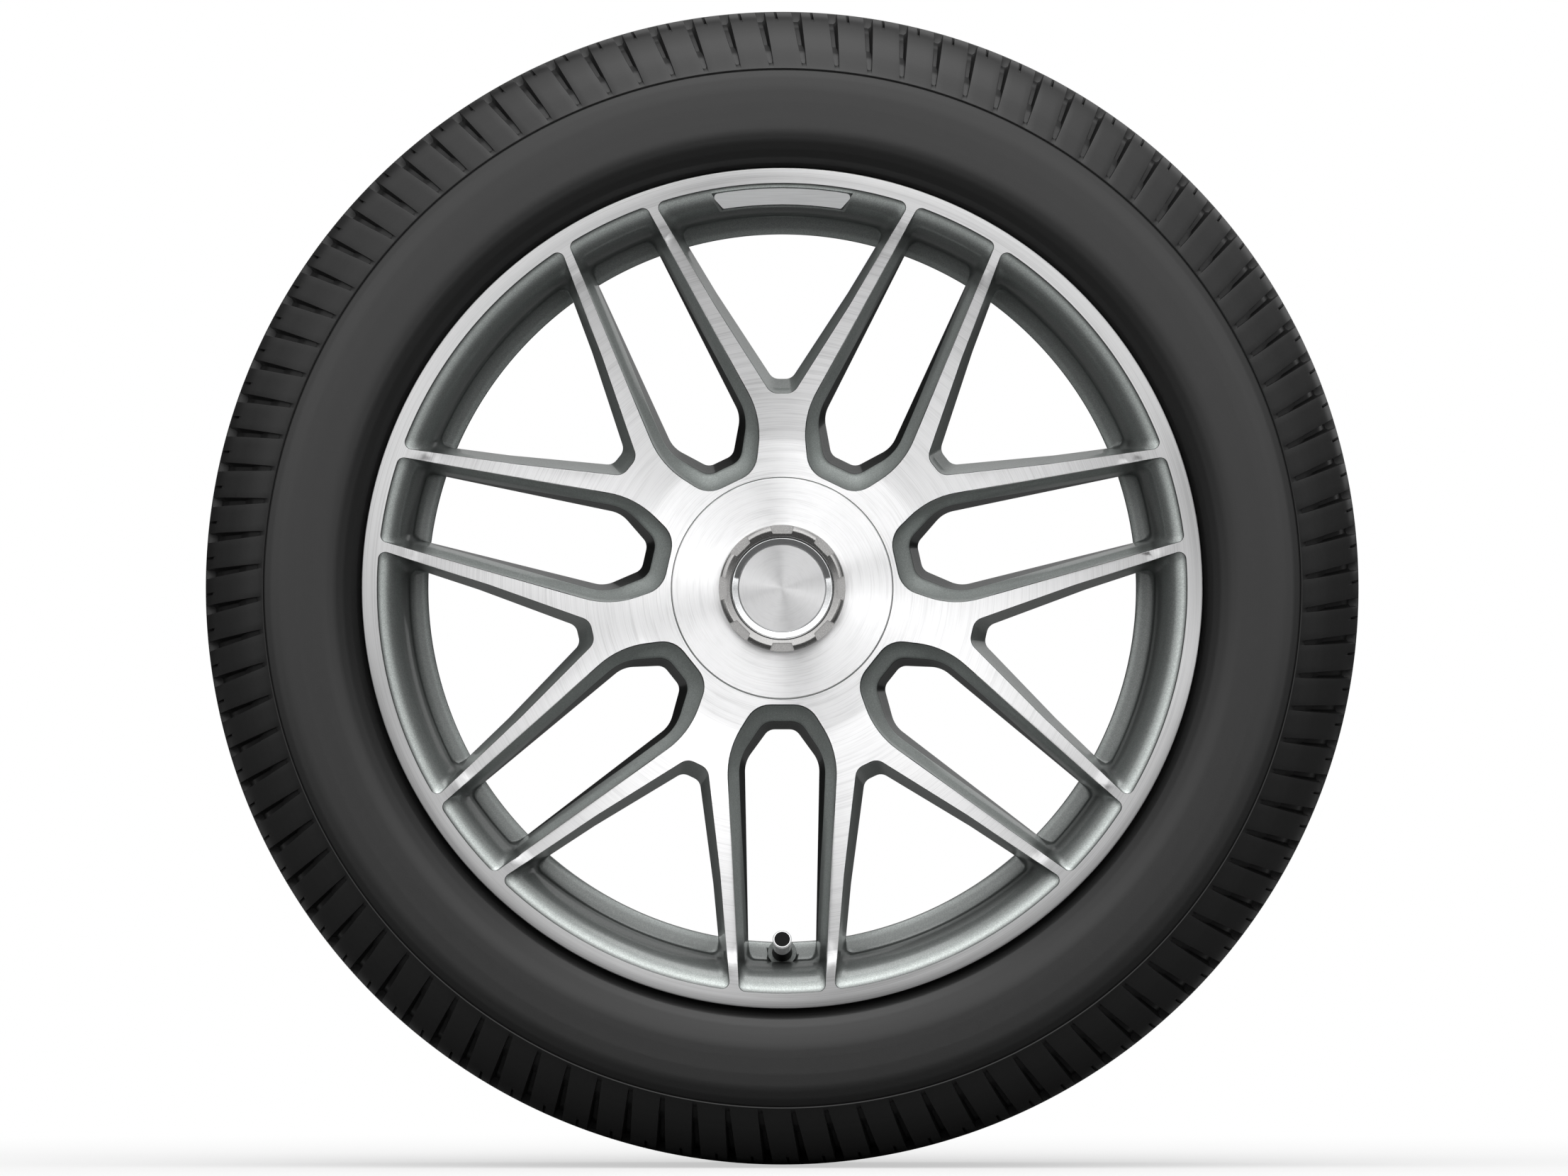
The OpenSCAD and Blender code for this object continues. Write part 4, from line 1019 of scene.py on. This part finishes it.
def studio_light(m):
    """Strength of the light by direction: a bright ring about the axis, with fans, and light from above."""
    where = m.new("TexCoord")
    split = m.new("SeparateXYZ")
    m.link(where.outputs["Generated"], split.inputs[0])
    x, y, z = split.outputs
    front = m.math("DIVIDE", m.math("ARCCOSINE", m.math("MULTIPLY", y, -1.0)), math.pi)
    turn = m.math("DIVIDE", m.math("ARCTAN2", z, x), math.pi)
    half_turn = m.math("FRACT", m.math("ADD", turn, 1.0))
    # Light by the angle off the wheel's axis, and its share by height
    cone = m.levels(front, [(0.0, 0.55), (0.03, 0.6), (0.055, 0.95), (0.09, 1.3), (0.14, 1.45), (0.19, 1.2),
                            (0.25, 0.7), (0.32, 0.28), (0.4, 0.16), (0.5, 0.12), (0.58, 0.14), (0.67, 0.1),
                            (0.75, 0.02), (1.0, 0.01)])
    by_height = m.levels(m.math("MULTIPLY_ADD", z, 0.5, 0.5),
                         [(0.0, 0.05), (0.15, 0.1), (0.24, 0.5), (0.31, 1.4), (0.42, 1.35), (0.5, 1.0),
                          (0.6, 0.8), (0.75, 0.75), (1.0, 0.75)])
    cone = m.math("MULTIPLY", cone, by_height)
    # Fans near the axis, which turned metal spreads over the face, and sides further out
    fans = m.levels(half_turn, [(0.0, 0.5), (0.055, 0.3), (0.105, 0.08), (0.113, 1.0), (0.495, 1.0),
                                (0.51, 0.02), (0.56, 0.1), (0.61, 0.5), (0.69, 0.9), (0.83, 1.0),
                                (0.92, 0.8), (1.0, 0.5)])
    sides = m.levels(half_turn, [(0.0, 0.35), (0.12, 0.7), (0.3, 1.0), (0.7, 1.0), (0.88, 0.7), (1.0, 0.35)])
    wide = m.levels(front, [(0.0, 0.0), (0.13, 0.0), (0.2, 1.0), (1.0, 1.0)])
    fans = m.math("ADD", fans, m.math("MULTIPLY", wide, m.math("SUBTRACT", sides, fans)))
    away = m.levels(front, [(0.0, 0.0), (0.012, 0.4), (0.03, 1.0)])
    fan_mix = m.math("ADD", 1.0, m.math("MULTIPLY", away, m.math("SUBTRACT", fans, 1.0)))
    # Light from above, which fades behind the wheel
    above = m.levels(m.math("MULTIPLY_ADD", z, 0.5, 0.5),
                     [(0.0, 0.0), (0.5, 0.0), (0.6, 0.04), (0.7, 0.2), (0.8, 0.6), (0.92, 1.1), (1.0, 1.2)])
    near_side = m.levels(front, [(0.0, 1.0), (0.6, 1.0), (0.68, 0.3), (0.75, 0.03), (1.0, 0.0)])
    above = m.math("MULTIPLY", above, near_side)
    return m.math("ADD", m.math("MULTIPLY", m.math("MULTIPLY", cone, fan_mix), FRONT_LEVEL),
                  m.math("MULTIPLY", above, TOP_LEVEL))


def seen_plainly(m):
    """1 where the camera sees a surface itself or through glass, otherwise 0."""
    path = m.new("LightPath")
    return m.math("MAXIMUM", path.outputs["Is Camera Ray"], path.outputs["Is Transmission Ray"])


def world():
    """Soft studio light by direction, and plain white wherever the camera sees the background."""
    made = bpy.data.worlds.new("studio")
    bpy.context.scene.world = made
    made.use_nodes = True
    m = Tree(made.node_tree)
    back = m.tree.nodes["Background"]
    back.inputs["Color"].default_value = (1, 1, 1, 1)
    mix = m.new("Mix")
    m.link(studio_light(m), mix.inputs["A"])
    mix.inputs["B"].default_value = 1.0
    m.link(seen_plainly(m), mix.inputs["Factor"])
    m.link(mix.outputs[0], back.inputs["Strength"])


def studio_floor():
    """Plain pale floor under the tyre. Away from the object it is as white as the background."""
    mesh = bpy.data.meshes.new("floor")
    z = -TYRE_R * MM - 0.0005
    around = [(FLOOR_REACH * math.cos(a), FLOOR_REACH * math.sin(a), z) for a in even(FLOOR_POINTS)]
    mesh.from_pydata(around, [], [tuple(range(FLOOR_POINTS))])
    m = Nodes("floor_pale")
    m.set(Roughness=0.8)
    fine = m.noise(m.place(), 4.0, 2.0)
    m.link(m.levels(fine, [(0.3, 0.84), (0.7, 0.86)]), m.shader.inputs["Base Color"])
    white = m.new("Emission")
    seen = seen_plainly(m)
    length = m.new("VectorMath", operation="LENGTH")
    m.link(m.place(), length.inputs[0])
    far = m.new("MapRange", interpolation_type="SMOOTHSTEP")
    for name, v in (("From Min", 0.5), ("From Max", 1.5), ("To Min", 0.55), ("To Max", 1.0)):
        far.inputs[name].default_value = v
    m.link(length.outputs["Value"], far.inputs["Value"])
    dim = m.new("BsdfDiffuse")
    dim.inputs["Color"].default_value = (0.12, 0.12, 0.12, 1)
    ground = m.new("MixShader")
    m.link(seen, ground.inputs[0])
    m.link(dim.outputs[0], ground.inputs[1])
    m.link(m.shader.outputs[0], ground.inputs[2])
    mix = m.new("MixShader")
    m.link(m.math("MULTIPLY", seen, far.outputs[0]), mix.inputs[0])
    m.link(ground.outputs[0], mix.inputs[1])
    m.link(white.outputs[0], mix.inputs[2])
    m.link(mix.outputs[0], m.tree.nodes["Material Output"].inputs["Surface"])
    mesh.materials.append(m.material)
    obj = new_object("floor", mesh)


def camera():
    """Long lens along +Y, so that the tyre is as wide in the picture as in the photograph."""
    data = bpy.data.cameras.new("camera")
    data.sensor_width = 36.0
    data.lens = 800.0
    width, height = PICTURE
    distance = data.lens / data.sensor_width * width / PIXELS_PER_METRE
    obj = new_object("camera", data)
    x, z = (width / 2 - CENTRE[0]) / PIXELS_PER_METRE, (CENTRE[1] - height / 2) / PIXELS_PER_METRE
    obj.location = (x, -distance - FACE_AHEAD, z)
    obj.rotation_euler = (math.pi / 2, 0, 0)
    data.clip_start, data.clip_end = 1.0, 300.0
    bpy.context.scene.camera = obj


def wheel_and_tyre():
    """The wheel and the tyre's pieces, in place of their solids."""
    # Turned face and grey-green paint: light and shade painted into their colour by radius
    machined = turned_metal("turned_aluminium", (0.92, 0.92, 0.925), 0.33, 1.0, 1.0, FACE_PAINTED_LIGHT)
    paint = metallic_paint("grey_green_paint", (0.32, 0.343, 0.334), (0.48, 0.514, 0.5), 0.6, 0.6,
                           PAINT_PAINTED_LIGHT)
    inner_paint = metallic_paint("inner_paint", (0.18, 0.193, 0.188), (0.28, 0.3, 0.292), 0.4)
    side_rubber = rubber("tyre_rubber", 0.008, 0.42, 900.0, 0.53)
    tread_rubber = rubber("tread_rubber", 0.014, 0.4, 600.0, 0.4)
    # Darkest paint: painted shade in the windows and the valve's pocket, and the plaque's dark border
    shade_and_border_paint = metallic_paint("dark_paint_for_shade_and_border", (0.06, 0.065, 0.063), (0.11, 0.118, 0.115), 0.3)
    wheel = forged_wheel([machined, paint, inner_paint, shade_and_border_paint])
    cut_spot_face(wheel)
    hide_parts("wheel")
    tyre_parts = [tyre_lathe([side_rubber]), shoulder_tread(1, [tread_rubber]),
                  shoulder_tread(-1, [tread_rubber]), centre_ribs([tread_rubber])]
    for piece in tyre_parts:
        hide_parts("tyre")


def small_pieces():
    """Finishes of the CAD nodes that keep their solids, and the valve core's spring."""
    finishes = (
        ("cover_face", turned_metal, "cover_aluminium", (0.94, 0.94, 0.945), 0.33, 1.0, 0.8),
        ("cover_carrier", plastic, "cover_plastic", (0.02, 0.02, 0.022)),
        ("cover_retaining_ring", satin_metal, "spring_wire", (0.6, 0.6, 0.62)),
        ("cover_nut_ring", satin_metal, "titanium_grey", (0.36, 0.355, 0.35), 0.26),
        ("cover_bezel", satin_metal, "bright_chrome", (0.8, 0.81, 0.82), 0.06),
        ("cover_plain_disc", turned_metal, "disc_silver", (0.62, 0.62, 0.625), 0.34, 0.95, 0.4),
        ("rim_plaque", brushed_plate, "plaque_metal", (0.8, 0.81, 0.815)),
        ("valve_rubber", rubber, "valve_rubber", 0.006, 0.45, 900.0, 0.25),
        ("valve_stem", satin_metal, "brass", (0.72, 0.52, 0.25), 0.25),
        ("valve_core_barrel", satin_metal, "core_brass", (0.7, 0.5, 0.24), 0.25),
        ("valve_core_pin", satin_metal, "pin_brass", (0.72, 0.54, 0.28), 0.25),
        ("valve_core_seal", rubber, "core_seal", 0.03, 0.5),
        ("valve_cap", satin_metal, "cap_metal", (0.94, 0.94, 0.95), 0.24, 1200.0, 0.4),
        ("valve_cap_insert", plastic, "cap_insert", (0.004, 0.004, 0.0042), 0.4, 0.1),
        ("valve_cap_seal", rubber, "cap_seal", 0.03, 0.5),
        ("sensor_housing", plastic, "sensor_plastic", (0.03, 0.03, 0.032)),
        ("sensor_screw", satin_metal, "screw_steel", (0.6, 0.6, 0.61), 0.3),
        ("balance_weights", satin_metal, "weight_zinc", (0.42, 0.43, 0.44), 0.4),
    )
    for node, finish, *values in finishes:
        obj = frame["nodes"][node]
        obj.data.materials.clear()
        obj.data.materials.append(finish(*values))
    core_spring([satin_metal("spring_steel", (0.6, 0.6, 0.62), 0.25)])


def main():
    """Builds the scene."""
    bpy.context.scene.view_settings.view_transform = "Standard"
    wheel_and_tyre()
    small_pieces()
    world()
    studio_floor()
    for lamp_values in LAMPS:
        lamp(*lamp_values)
    camera()


main()
